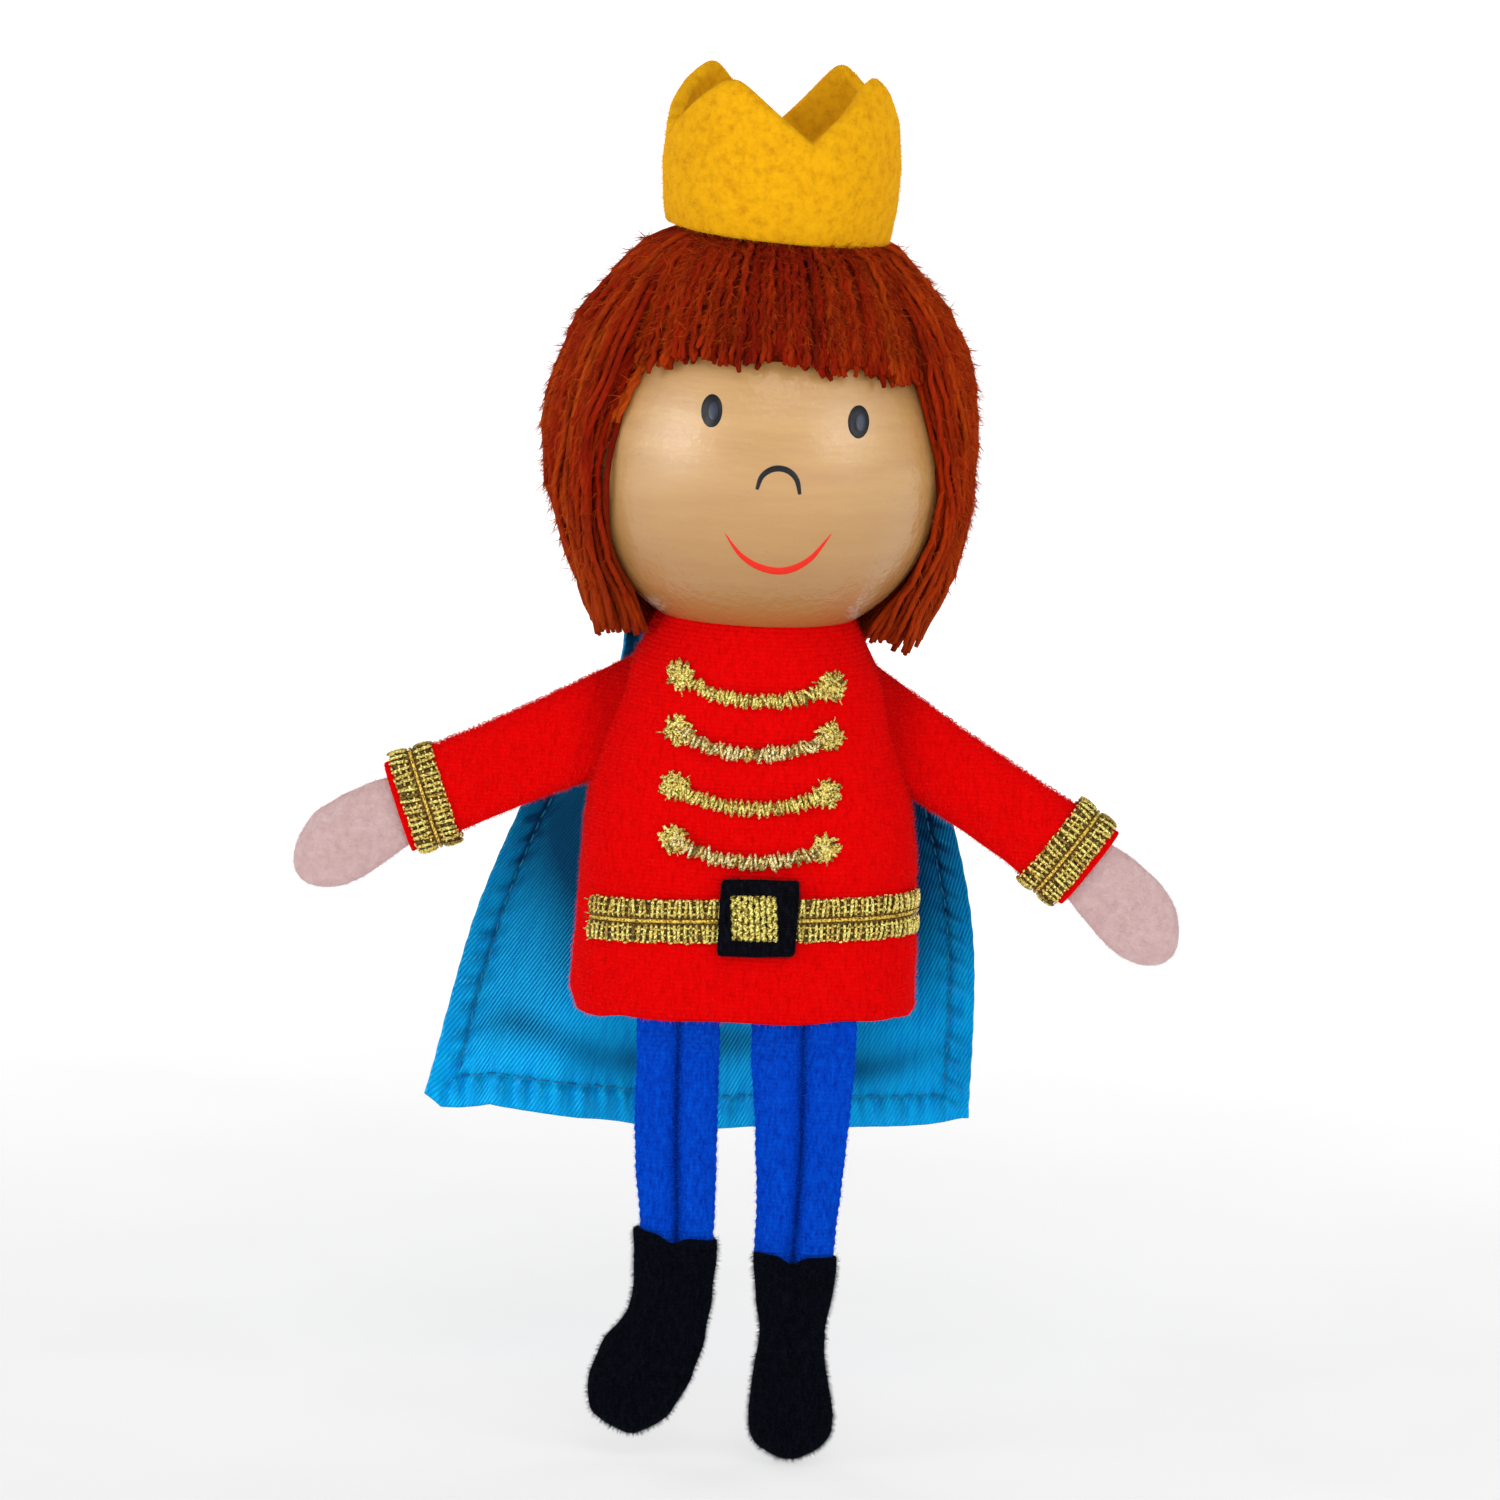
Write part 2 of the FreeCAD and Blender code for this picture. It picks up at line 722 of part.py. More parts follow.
def make_cape():
    """A satin cape, as one slab that holds its folds, hanging from the back of the neck."""
    points = [
        ("-Sizes.cape_neck", "-Sizes.cape_top"),
        ("Sizes.cape_neck", "-Sizes.cape_top"),
        ("Sizes.cape_elbow_left", "-Sizes.cape_elbow"),
        ("Sizes.cape_knee_left", "-Sizes.cape_knee"),
        ("Sizes.cape_foot_left", "-Sizes.cape_bottom_left"),
        ("0", "-Sizes.cape_bottom"),
        ("-Sizes.cape_foot_right", "-Sizes.cape_bottom_right"),
        ("-Sizes.cape_elbow_right", "-Sizes.cape_elbow"),
    ]
    depth = "-Sizes.cape_back - Sizes.cape_thick / 2"
    body, cloth = upright_pad("cape", points, "Sizes.cape_thick", depth)
    corners = round_edges(body, cloth, "soft_corners", "Sizes.cape_round", along_y)
    body.Tip = round_edges(body, corners, "soft_rim", "Sizes.cape_soft", flat_in_y)
    node(body, "cape")


make_ball()
make_hair()
make_crown()
make_neck()
make_tunic_panel("tunic_front", keep=-1)
make_tunic_panel("tunic_back", keep=1)
make_belt()
make_frogging()
for arm, sign in (("left", ""), ("right", "-")):
    make_shoulder(arm, sign)
    make_sleeve(arm)
    make_cuff(arm)
    make_hand(arm)
    make_leg(arm)
    make_boot(arm)
make_cape()
doc.recompute()

for thing in doc.Objects:
    if {"Invalid", "Error"} & set(thing.State):
        raise SystemExit(f"{thing.Name} ({thing.Label}) is {thing.State}")
for thing in nodes:
    shape = thing.Shape
    if shape.isNull() or not shape.isValid() or not shape.Solids:
        raise SystemExit(f"{thing.Label} has no valid solid")

os.makedirs("parts", exist_ok=True)
for thing in nodes:
    thing.Shape.exportStep(f"parts/{thing.Label}.step")
    box = thing.Shape.BoundBox
    low = f"{box.XMin:.1f} {box.YMin:.1f} {box.ZMin:.1f}"
    high = f"{box.XMax:.1f} {box.YMax:.1f} {box.ZMax:.1f}"
    print(f"{thing.Label}: {len(thing.Shape.Solids)} solid, {low} to {high}")
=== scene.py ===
import json
import math

import bmesh
import bpy
import numpy as np
from mathutils import Matrix, Vector


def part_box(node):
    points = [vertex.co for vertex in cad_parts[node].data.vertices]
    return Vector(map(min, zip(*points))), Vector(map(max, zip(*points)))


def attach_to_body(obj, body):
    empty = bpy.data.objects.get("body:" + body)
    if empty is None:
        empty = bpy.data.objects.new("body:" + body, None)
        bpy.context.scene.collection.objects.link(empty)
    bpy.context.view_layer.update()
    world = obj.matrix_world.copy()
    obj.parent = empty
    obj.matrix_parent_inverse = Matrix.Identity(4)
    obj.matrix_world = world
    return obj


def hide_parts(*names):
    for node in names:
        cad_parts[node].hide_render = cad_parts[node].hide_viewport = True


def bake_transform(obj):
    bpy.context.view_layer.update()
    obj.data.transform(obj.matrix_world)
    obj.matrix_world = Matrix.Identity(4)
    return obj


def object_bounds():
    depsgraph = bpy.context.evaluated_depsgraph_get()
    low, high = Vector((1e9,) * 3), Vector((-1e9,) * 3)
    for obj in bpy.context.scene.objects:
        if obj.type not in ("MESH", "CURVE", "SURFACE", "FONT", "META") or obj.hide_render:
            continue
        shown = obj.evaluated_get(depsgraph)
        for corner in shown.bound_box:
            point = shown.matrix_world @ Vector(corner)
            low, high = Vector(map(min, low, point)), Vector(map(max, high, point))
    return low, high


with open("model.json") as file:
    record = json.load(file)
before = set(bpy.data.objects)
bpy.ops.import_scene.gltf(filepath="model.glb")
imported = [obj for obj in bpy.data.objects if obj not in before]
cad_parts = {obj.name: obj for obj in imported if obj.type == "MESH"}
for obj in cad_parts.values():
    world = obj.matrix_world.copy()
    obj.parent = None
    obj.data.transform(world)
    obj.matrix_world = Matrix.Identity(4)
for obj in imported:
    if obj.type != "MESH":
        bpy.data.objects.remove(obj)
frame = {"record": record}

# A prince finger puppet, in metres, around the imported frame. Shapes are worked out in millimetres
# and scaled as each mesh is made. The puppet faces -Y, and left is its own left, at +X.

MM = 0.001
CAD_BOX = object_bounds()
JOINTS = {j["name"]: j for j in frame["record"]["behaviour"]["joints"]}
SIDES = (("left", 1), ("right", -1))


def low_high(node):
    """A node's two corners in millimetres."""
    low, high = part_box(node)
    return np.array(low) / MM, np.array(high) / MM


def pivot(joint):
    """Where a joint turns, in millimetres."""
    return np.array(JOINTS[joint]["pos_m"]) / MM


BALL_R = 20.0
BALL_C = np.array([0.0, 0.0, low_high("head_ball")[1][2] - BALL_R])
BORE_R = math.sqrt(BALL_R**2 - BALL_C[2] ** 2)
HEM = low_high("tunic_front")[0][2]
BELT_LOW, BELT_HIGH = low_high("belt")

# ------------------------------------------------------------------ mesh tools


def unit(v):
    return v / np.maximum(np.linalg.norm(v, axis=-1, keepdims=True), 1e-12)


def distances(line):
    """How far along a line each of its points is."""
    return np.concatenate([[0], np.cumsum(np.linalg.norm(np.diff(line, axis=0), axis=1))])


def turns(n):
    """Angles spread evenly round a circle."""
    return np.linspace(0, 2 * math.pi, n, endpoint=False)


def squared(wave, power):
    """A sine or cosine bent towards a square's, for sections between round and square."""
    return np.sign(wave) * np.abs(wave) ** power


def triangles(mesh):
    """The three corners of each triangle, in metres."""
    mesh.calc_loop_triangles()
    corners, points = np.zeros(len(mesh.loop_triangles) * 3, np.int32), np.zeros(len(mesh.vertices) * 3)
    mesh.loop_triangles.foreach_get("vertices", corners)
    mesh.vertices.foreach_get("co", points)
    return points.reshape(-1, 3)[corners.reshape(-1, 3)].transpose(1, 0, 2)


def attach(thing, body, slot, *nodes):
    """Makes a piece ride on a body, and stand for the CAD's nodes, which it hides. The slot is not used."""
    if nodes:
        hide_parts(*nodes)
    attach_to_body(thing, body)


class Skin:
    """Gathers points, faces, cloth coordinates (UV, in millimetres) and a tone for each point."""

    def __init__(self):
        self.points, self.tones, self.faces, self.uvs = [], [], [], []
        self.count = 0

    def add(self, points, faces, uvs, tone=0.5):
        points = np.asarray(points, float).reshape(-1, 3)
        self.points.append(points)
        self.tones.append(np.broadcast_to(np.asarray(tone, float), len(points)))
        for face, uv in zip(faces, uvs):
            self.faces.append(face + self.count)
            self.uvs.append(uv)
        self.count += len(points)

    def grid(self, p, uv=None, tone=0.5, loop=False):
        """A sheet of quads over points in rows. With loop, the last column joins the first."""
        rows, cols = p.shape[:2]
        span = cols if loop else cols - 1
        i, j = np.meshgrid(np.arange(rows - 1), np.arange(span), indexing="ij")
        k = (j + 1) % cols
        quads = np.stack([i * cols + j, i * cols + k, (i + 1) * cols + k, (i + 1) * cols + j], -1)
        if uv is None:
            along = np.linalg.norm(np.diff(p, axis=0), axis=-1).mean(axis=1)
            v = np.concatenate([[0], np.cumsum(along)])
            ring = np.concatenate([p, p[:, :1]], axis=1) if loop else p
            across = np.linalg.norm(np.diff(ring, axis=1), axis=-1).mean(axis=0)
            u = np.concatenate([[0], np.cumsum(across)])
            uv = np.stack(np.meshgrid(u, v), -1)
        corner = np.stack([uv[i, j], uv[i, j + 1], uv[i + 1, j + 1], uv[i + 1, j]], -2)
        tone = np.broadcast_to(np.asarray(tone, float), (rows, cols)).ravel()
        self.add(p, [quads.reshape(-1, 4)], [corner.reshape(-1, 4, 2)], tone)

    def tubes(self, paths, radius, sides=6, up=None, flat=1.0, tone=0.5):
        """Closed tubes along paths (strands, points, 3). flat squeezes them along up."""
        paths = np.asarray(paths, float)
        count, n = paths.shape[:2]
        radius = np.broadcast_to(np.asarray(radius, float), (count, n))[..., None, None]
        ahead = unit(np.gradient(paths, axis=1))
        if up is None:
            up = np.where(np.abs(ahead[..., 2:]) > 0.9, (1.0, 0, 0), (0, 0, 1.0))
        side = unit(np.cross(ahead, np.broadcast_to(up, paths.shape)))
        out = np.cross(side, ahead)
        a = np.arange(sides) * 2 * math.pi / sides
        turn = np.cos(a)[:, None] * side[..., None, :] + np.sin(a)[:, None] * out[..., None, :] * flat
        points = paths[..., None, :] + radius * turn
        s, i, j = np.meshgrid(np.arange(count), np.arange(n - 1), np.arange(sides), indexing="ij")
        k = (j + 1) % sides
        base = (s * n + i) * sides
        quads = np.stack([base + j, base + k, base + sides + k, base + sides + j], -1)
        run = np.linalg.norm(np.diff(paths, axis=1), axis=-1)
        along = np.concatenate([np.zeros((count, 1)), np.cumsum(run, axis=1)], axis=1)
        v0, v1 = along[s, i], along[s, i + 1]
        u0, u1 = j / sides, (j + 1) / sides
        corner = np.stack([u0, v0, u1, v0, u1, v1, u0, v1], -1).reshape(-1, 4, 2)
        ends = np.arange(count)[:, None] * n * sides
        first = ends + np.arange(sides)[::-1]
        last = ends + (n - 1) * sides + np.arange(sides)
        caps = np.concatenate([first, last])
        tone = np.broadcast_to(np.asarray(tone, float), (count,))
        self.add(
            points,
            [quads.reshape(-1, 4), caps],
            [corner, np.zeros((len(caps), sides, 2))],
            np.repeat(tone, n * sides),
        )

    def spikes(self, at, tips, width, tone=0.5):
        """Thin closed three-sided fibres from points to their tips."""
        at, tips = np.asarray(at, float), np.asarray(tips, float)
        ahead = unit(tips - at)
        side = unit(np.cross(ahead, np.where(np.abs(ahead[:, 2:]) > 0.9, (1.0, 0, 0), (0, 0, 1.0))))
        other = np.cross(ahead, side)
        w = np.broadcast_to(np.asarray(width, float), (len(at),))[:, None]
        feet = [at + w * (math.cos(t) * side + math.sin(t) * other) for t in (0, 2.094, 4.189)]
        points = np.stack([*feet, tips], axis=1)
        base = np.arange(len(at))[:, None] * 4
        faces = np.concatenate([base + f for f in ((0, 1, 3), (1, 2, 3), (2, 0, 3), (2, 1, 0))])
        tone = np.repeat(np.broadcast_to(np.asarray(tone, float), (len(at),)), 4)
        self.add(points, [faces], [np.zeros((len(faces), 3, 2))], tone)

    def make(self, name, material, smooth=True):
        """An object of everything gathered so far."""
        mesh = bpy.data.meshes.new(name)
        points = np.concatenate(self.points) * MM
        loops = np.concatenate([f.ravel() for f in self.faces])
        sizes = np.concatenate([np.full(len(f), f.shape[1]) for f in self.faces])
        mesh.vertices.add(len(points))
        mesh.loops.add(len(loops))
        mesh.polygons.add(len(sizes))
        mesh.vertices.foreach_set("co", points.ravel())
        mesh.loops.foreach_set("vertex_index", loops.astype(np.int32))
        starts = np.concatenate([[0], np.cumsum(sizes)[:-1]])
        mesh.polygons.foreach_set("loop_start", starts.astype(np.int32))
        mesh.update(calc_edges=True)
        uv = mesh.uv_layers.new(name="cloth")
        uv.data.foreach_set("uv", np.concatenate([u.ravel() for u in self.uvs]).astype(np.float32))
        tone = mesh.attributes.new("tone", "FLOAT", "POINT")
        tone.data.foreach_set("value", np.concatenate(self.tones).astype(np.float32))
        mesh.polygons.foreach_set("use_smooth", np.full(len(sizes), smooth))
        mesh.validate()
        mesh.materials.append(material)
        thing = bpy.data.objects.new(name, mesh)
        bpy.context.collection.objects.link(thing)
        return thing


def outward(thing):
    """Joins a closed piece's edges where they meet, and turns its faces to look outwards."""
    mesh = thing.data
    joined = bmesh.new()
    joined.from_mesh(mesh)
    bmesh.ops.remove_doubles(joined, verts=joined.verts, dist=1e-7)
    joined.to_mesh(mesh)
    joined.free()
    a, b, c = triangles(mesh)
    if (a * np.cross(b, c)).sum() < 0:
        mesh.flip_normals()
    return thing


def curve(points, n):
    """A smooth line (Catmull-Rom) through control points, as n points evenly spread along it."""
    c = np.asarray(points, float)
    c = np.vstack([2 * c[0] - c[1], c, 2 * c[-1] - c[-2]])
    t = np.linspace(0, 1, 16, endpoint=False)[:, None]
    pieces = []
    for a, b, d, e in zip(c[:-3], c[1:-2], c[2:-1], c[3:]):
        cubic = 2 * b + (d - a) * t + (2 * a - 5 * b + 4 * d - e) * t**2
        pieces.append((cubic + (3 * b - a - 3 * d + e) * t**3) / 2)
    line = np.vstack([*pieces, c[-2:-1]])
    run = distances(line)
    at = np.linspace(0, run[-1], n)
    return np.stack([np.interp(at, run, line[:, k]) for k in range(line.shape[1])], axis=1)


def waves(p, seed, size, count=6):
    """A smooth random value from -1 to 1 at each point, with bumps of about that size."""
    rng = np.random.default_rng(seed)
    total = np.zeros(p.shape[:-1])
    for _ in range(count):
        way = unit(rng.normal(size=3)) * 2 * math.pi / (size * rng.uniform(0.7, 1.6))
        total += np.sin(p @ way + rng.uniform(0, 2 * math.pi))
    return total / count


def surface_samples(thing, count, seed):
    """Points and normals spread evenly over an object's faces, in millimetres."""
    a, b, c = triangles(thing.evaluated_get(bpy.context.evaluated_depsgraph_get()).to_mesh()) / MM
    cross = np.cross(b - a, c - a)
    area = np.linalg.norm(cross, axis=1)
    rng = np.random.default_rng(seed)
    i = rng.choice(len(a), count, p=area / area.sum())
    u, v = rng.random((2, count, 1))
    u, v = np.where(u + v > 1, 1 - u, u), np.where(u + v > 1, 1 - v, v)
    return a[i] + u * (b - a)[i] + v * (c - a)[i], unit(cross[i])


def nap(thing, name, material, count, length, lean=(0, 0, -0.35), seed=1, keep=None):
    """Fine fibres standing on a piece's outer surface."""
    at, normal = surface_samples(thing, count, seed)
    rng = np.random.default_rng(seed + 1)
    if keep is not None:
        chosen = keep(at, normal)
        at, normal = at[chosen], normal[chosen]
    way = unit(normal + np.array(lean) + rng.normal(0, 0.45, at.shape))
    reach = length * rng.uniform(0.45, 1.0, (len(at), 1)) ** 1.5
    skin = Skin()
    skin.spikes(at - 0.05 * normal, at + way * reach, 0.02, rng.random(len(at)))
    return skin.make(name, material, smooth=False)


# ------------------------------------------------------------------ materials


class Look:
    """A node material around one Principled shader."""

    def __init__(self, name, **sockets):
        self.material = bpy.data.materials.new(name)
        self.material.use_nodes = True
        self.tree = self.material.node_tree
        self.shader = self.tree.nodes["Principled BSDF"]
        for key, value in sockets.items():
            self.shader.inputs[key.replace("_", " ")].default_value = value
        self.place = self.add("ShaderNodeTexCoord").outputs["Object"]
        cloth = self.add("ShaderNodeUVMap")
        cloth.uv_map = "cloth"
        self.cloth = cloth.outputs["UV"]
        tone = self.add("ShaderNodeAttribute")
        tone.attribute_name = "tone"
        self.tone = tone.outputs["Fac"]

    def plug(self, socket, value):
        """Links a node's output, or sets a plain value."""
        if isinstance(value, bpy.types.NodeSocket):
            self.tree.links.new(value, socket)
        else:
            socket.default_value = value

    def add(self, kind, *values, **settings):
        node = self.tree.nodes.new(kind)
        for key, value in settings.items():
            setattr(node, key, value)
        for socket, value in zip(node.inputs, values):
            if value is not None:
                self.plug(socket, value)
        return node

    def maths(self, operation, a, b=0.0):
        return self.add("ShaderNodeMath", a, b, operation=operation).outputs[0]

    def stretch(self, vector, scale):
        node = self.add("ShaderNodeVectorMath", vector, scale, operation="MULTIPLY")
        return node.outputs[0]

    def noise(self, vector, scale, detail=3.0, rough=0.55):
        node = self.add("ShaderNodeTexNoise")
        self.plug(node.inputs["Vector"], vector)
        self.plug(node.inputs["Scale"], scale)
        self.plug(node.inputs["Detail"], detail)
        self.plug(node.inputs["Roughness"], rough)
        return node.outputs["Fac"]

    def ramp(self, fac, stops):
        node = self.add("ShaderNodeValToRGB", fac)
        band = node.color_ramp
        while len(band.elements) < len(stops):
            band.elements.new(0.5)
        for element, (at, colour) in zip(band.elements, stops):
            element.position = at
            element.color = (*colour, 1)
        return node.outputs["Color"]

    def mix(self, fac, a, b, blend="MIX"):
        node = self.add("ShaderNodeMix", data_type="RGBA", blend_type=blend)
        self.plug(node.inputs["Factor"], fac)
        self.plug(node.inputs[6], a if isinstance(a, bpy.types.NodeSocket) else (*a, 1))
        self.plug(node.inputs[7], b if isinstance(b, bpy.types.NodeSocket) else (*b, 1))
        return node.outputs[2]

    def bump(self, height, distance, strength=1.0, over=None):
        """Relief of a given depth in millimetres."""
        node = self.add("ShaderNodeBump")
        node.inputs["Strength"].default_value = strength
        node.inputs["Distance"].default_value = distance * MM
        self.plug(node.inputs["Height"], height)
        if over is not None:
            self.plug(node.inputs["Normal"], over)
        return node.outputs[0]

    def sine(self, along, period, phase=0.0):
        """A wave from 0 to 1 along a coordinate."""
        turned = self.maths("MULTIPLY_ADD", along, 2 * math.pi / period)
        if phase != 0.0:
            turned = self.maths("ADD", turned, phase)
        return self.maths("MULTIPLY_ADD", self.maths("SINE", turned), 0.5)

    def axes(self, vector):
        node = self.add("ShaderNodeSeparateXYZ", vector)
        return node.outputs[0], node.outputs[1], node.outputs[2]

    def finish(self, colour, normal=None, roughness=None):
        self.plug(self.shader.inputs["Base Color"], colour)
        if normal is not None:
            self.plug(self.shader.inputs["Normal"], normal)
        if roughness is not None:
            self.plug(self.shader.inputs["Roughness"], roughness)
        return self.material


def wood_look():
    look = Look("varnished wood", Roughness=0.5, Coat_Weight=0.8, Coat_Roughness=0.10)
    grain = look.noise(look.stretch(look.place, (45, 60, 330)), 1.0, 5.0, 0.6)
    pores = look.noise(look.stretch(look.place, (420, 420, 3000)), 1.0, 2.0)
    cloud = look.noise(look.place, 55.0, 3.0)
    pale, deep = (0.70, 0.405, 0.14), (0.54, 0.27, 0.075)
    colour = look.ramp(grain, [(0.3, deep), (0.55, (0.63, 0.35, 0.105)), (0.75, pale)])
    colour = look.mix(look.maths("MULTIPLY", pores, 0.25), colour, (0.40, 0.19, 0.055))
    colour = look.mix(look.maths("MULTIPLY", cloud, 0.3), colour, (0.72, 0.43, 0.17))
    fleck = look.noise(look.stretch(look.place, (900, 900, 2600)), 1.0, 3.0, 0.7)
    spots = look.ramp(fleck, [(0.66, (0, 0, 0)), (0.78, (0.5, 0.5, 0.5))])
    colour = look.mix(spots, colour, (0.30, 0.13, 0.035))
    # painted shade: the colour is mixed darker towards the ball's underside, standing in for the light that
    # falls off there
    height = look.axes(look.place)[2]
    low = look.maths("MULTIPLY", look.maths("SUBTRACT", 0.022, height), 45.0)
    low = look.maths("MULTIPLY", look.add("ShaderNodeClamp", low).outputs[0], 0.88)
    colour = look.mix(low, colour, (0.30, 0.13, 0.025))
    ripple = look.maths("ADD", look.noise(look.place, 330.0, 4.0, 0.6), look.noise(look.place, 1100.0, 2.0))
    relief = look.bump(ripple, 0.23, 0.9)
    look.plug(look.shader.inputs["Coat Normal"], relief)
    return look.finish(colour, look.bump(pores, 0.03, 0.4))


def paint_look(name, colour, edge):
    look = Look(name, Roughness=0.35, Specular_IOR_Level=0.3)
    fleck = look.noise(look.place, 1500.0, 2.0)
    return look.finish(look.mix(fleck, colour, edge), look.bump(fleck, 0.01, 0.5))


def yarn_look():
    look = Look("rust yarn", Roughness=0.9, Specular_IOR_Level=0.03, Sheen_Weight=0.03)
    look.shader.inputs["Sheen Tint"].default_value = (0.8, 0.2, 0.05, 1)
    around, along, _ = look.axes(look.cloth)
    twist = look.maths("ADD", look.maths("MULTIPLY", around, 2.0), look.maths("MULTIPLY", along, 0.62))
    ply = look.sine(twist, 1.0)
    fibre = look.noise(look.stretch(look.cloth, (9.0, 1.4, 1.0)), 1.0, 4.0)
    shadow, rust = (0.10, 0.0012, 0.0005), (0.38, 0.026, 0.0015)
    stops = [(0.0, shadow), (0.3, (0.28, 0.004, 0.0008)), (0.6, rust), (1.0, (0.54, 0.075, 0.005))]
    colour = look.ramp(look.tone, stops)
    colour = look.mix(look.maths("MULTIPLY", ply, 0.22), colour, (0.06, 0.001, 0.0005))
    colour = look.mix(look.maths("MULTIPLY", fibre, 0.3), colour, (0.48, 0.045, 0.003))
    patch = look.noise(look.stretch(look.place, (420.0, 420.0, 130.0)), 1.0, 4.0, 0.65)
    shade = look.ramp(patch, [(0.32, (0.6, 0.6, 0.6)), (0.5, (0.15, 0.15, 0.15)), (0.62, (0, 0, 0))])
    colour = look.mix(shade, colour, (0.055, 0.001, 0.0005))
    # lighter and more orange towards the bottom of the hair: partly the yarn's own colour at its ends,
    # partly painted light making up for the shade among the lower strands
    height = look.axes(look.place)[2]
    low = look.add("ShaderNodeClamp", look.maths("MULTIPLY", look.maths("SUBTRACT", 0.016, height), 70.0))
    colour = look.mix(look.maths("MULTIPLY", low.outputs[0], 0.4), colour, (0.36, 0.055, 0.006))
    relief = look.bump(look.maths("ADD", look.maths("MULTIPLY", ply, 0.5), fibre), 0.12)
    return look.finish(colour, relief)


def felt_look(name, base, dark, light):
    look = Look(name, Roughness=0.95, Specular_IOR_Level=0.06, Sheen_Weight=0.08)
    look.shader.inputs["Sheen Tint"].default_value = (*light, 1)
    tufts = look.noise(look.place, 900.0, 6.0, 0.7)
    fine = look.noise(look.place, 4200.0, 4.0, 0.7)
    cloud = look.noise(look.place, 160.0, 3.0)
    colour = look.ramp(tufts, [(0.3, dark), (0.52, base), (0.75, light)])
    colour = look.mix(look.maths("MULTIPLY", cloud, 0.3), colour, light)
    height = look.maths("ADD", tufts, look.maths("MULTIPLY", fine, 0.6))
    return look.finish(colour, look.bump(height, 0.28, 0.9))


def velour_look(name, base, dark, light, rib=0.46, depth=0.07, crease=False):
    """Brushed pile over fine ribs across the cloth. With crease, a low tone attribute paints shade into the
    colour.
    """
    look = Look(name, Roughness=0.95, Specular_IOR_Level=0.015, Sheen_Weight=0.03)
    look.shader.inputs["Sheen Tint"].default_value = (*light, 1)
    wander = look.noise(look.place, 260.0, 3.0)
    along = look.axes(look.place)[2]
    row = look.maths("MULTIPLY_ADD", wander, 0.00035)
    look.plug(row.node.inputs[2], along)
    ribs = look.sine(row, rib * MM)
    pile = look.noise(look.stretch(look.place, (2600.0, 2600.0, 900.0)), 1.0, 4.0, 0.7)
    brushed = look.noise(look.stretch(look.place, (420.0, 420.0, 150.0)), 1.0, 3.0)
    colour = look.ramp(pile, [(0.28, dark), (0.5, base), (0.78, light)])
    colour = look.mix(look.maths("MULTIPLY", ribs, 0.18), colour, dark)
    colour = look.mix(look.maths("MULTIPLY", brushed, 0.35), colour, dark)
    # painted shade: where a piece gives a low tone, the colour is darkened towards a deep shade of the cloth
    if crease:
        colour = look.mix(look.tone, tuple(0.3 * part for part in dark), colour)
    height = look.maths("ADD", look.maths("MULTIPLY", ribs, 0.8), look.maths("MULTIPLY", pile, 1.6))
    return look.finish(colour, look.bump(height, depth))


def nap_look(name, colour, tip):
    look = Look(name, Roughness=0.95, Specular_IOR_Level=0.04, Sheen_Weight=0.05)
    look.shader.inputs["Sheen Tint"].default_value = (*tip, 1)
    return look.finish(look.mix(look.tone, colour, tip))


def gold_look(name="gold thread", bright=(1.0, 0.90, 0.27), deep=(0.22, 0.13, 0.02)):
    look = Look(name, Metallic=0.35, Roughness=0.3)
    flakes = look.noise(look.place, 3700.0, 3.0, 0.65)
    around, along, _ = look.axes(look.cloth)
    twist = look.maths("ADD", look.maths("MULTIPLY", around, 2.0), look.maths("MULTIPLY", along, 2.2))
    ply = look.sine(twist, 1.0)
    colour = look.ramp(look.tone, [(0.0, deep), (0.2, (0.84, 0.62, 0.13)), (0.6, bright)])
    stops = [(0.40, (0.16, 0.12, 0.05)), (0.49, (0.85, 0.76, 0.5)), (0.56, (1.0, 1.0, 1.0))]
    glint = look.ramp(flakes, stops)
    colour = look.mix(1.0, colour, glint, "MULTIPLY")
    rough = look.maths("MULTIPLY_ADD", flakes, 0.25)
    rough.node.inputs[2].default_value = 0.16
    return look.finish(colour, look.bump(look.maths("ADD", ply, flakes), 0.09), rough)


def satin_look():
    look = Look("blue satin", Roughness=0.3, Specular_IOR_Level=0.5)
    look.shader.inputs["Specular Tint"].default_value = (0.02, 0.6, 1.0, 1)
    look.shader.inputs["Anisotropic"].default_value = 0.55
    u, v, _ = look.axes(look.cloth)
    slant = look.maths("ADD", look.maths("MULTIPLY", u, 1.0), look.maths("MULTIPLY", v, 0.55))
    twill = look.sine(slant, 0.42)
    slub = look.noise(look.stretch(look.cloth, (2.2, 0.25, 1.0)), 1.0, 4.0)
    cloud = look.noise(look.place, 90.0, 3.0)
    colour = look.ramp(
        slub,
        [(0.25, (0.001, 0.29, 0.84)), (0.5, (0.002, 0.46, 1.0)), (0.8, (0.003, 0.60, 1.0))],
    )
    colour = look.mix(look.maths("MULTIPLY", twill, 0.42), colour, (0.001, 0.10, 0.38))
    colour = look.mix(look.maths("MULTIPLY", cloud, 0.2), colour, (0.003, 0.38, 0.92))
    shade = look.maths("MULTIPLY", look.maths("SUBTRACT", 1.0, look.tone), 1.5)
    shade = look.add("ShaderNodeClamp", shade).outputs[0]
    colour = look.mix(shade, colour, (0.001, 0.030, 0.12))
    height = look.maths("ADD", twill, look.maths("MULTIPLY", slub, 0.7))
    rough = look.maths("MULTIPLY_ADD", slub, 0.2)
    rough.node.inputs[2].default_value = 0.27
    return look.finish(colour, look.bump(height, 0.06), rough)


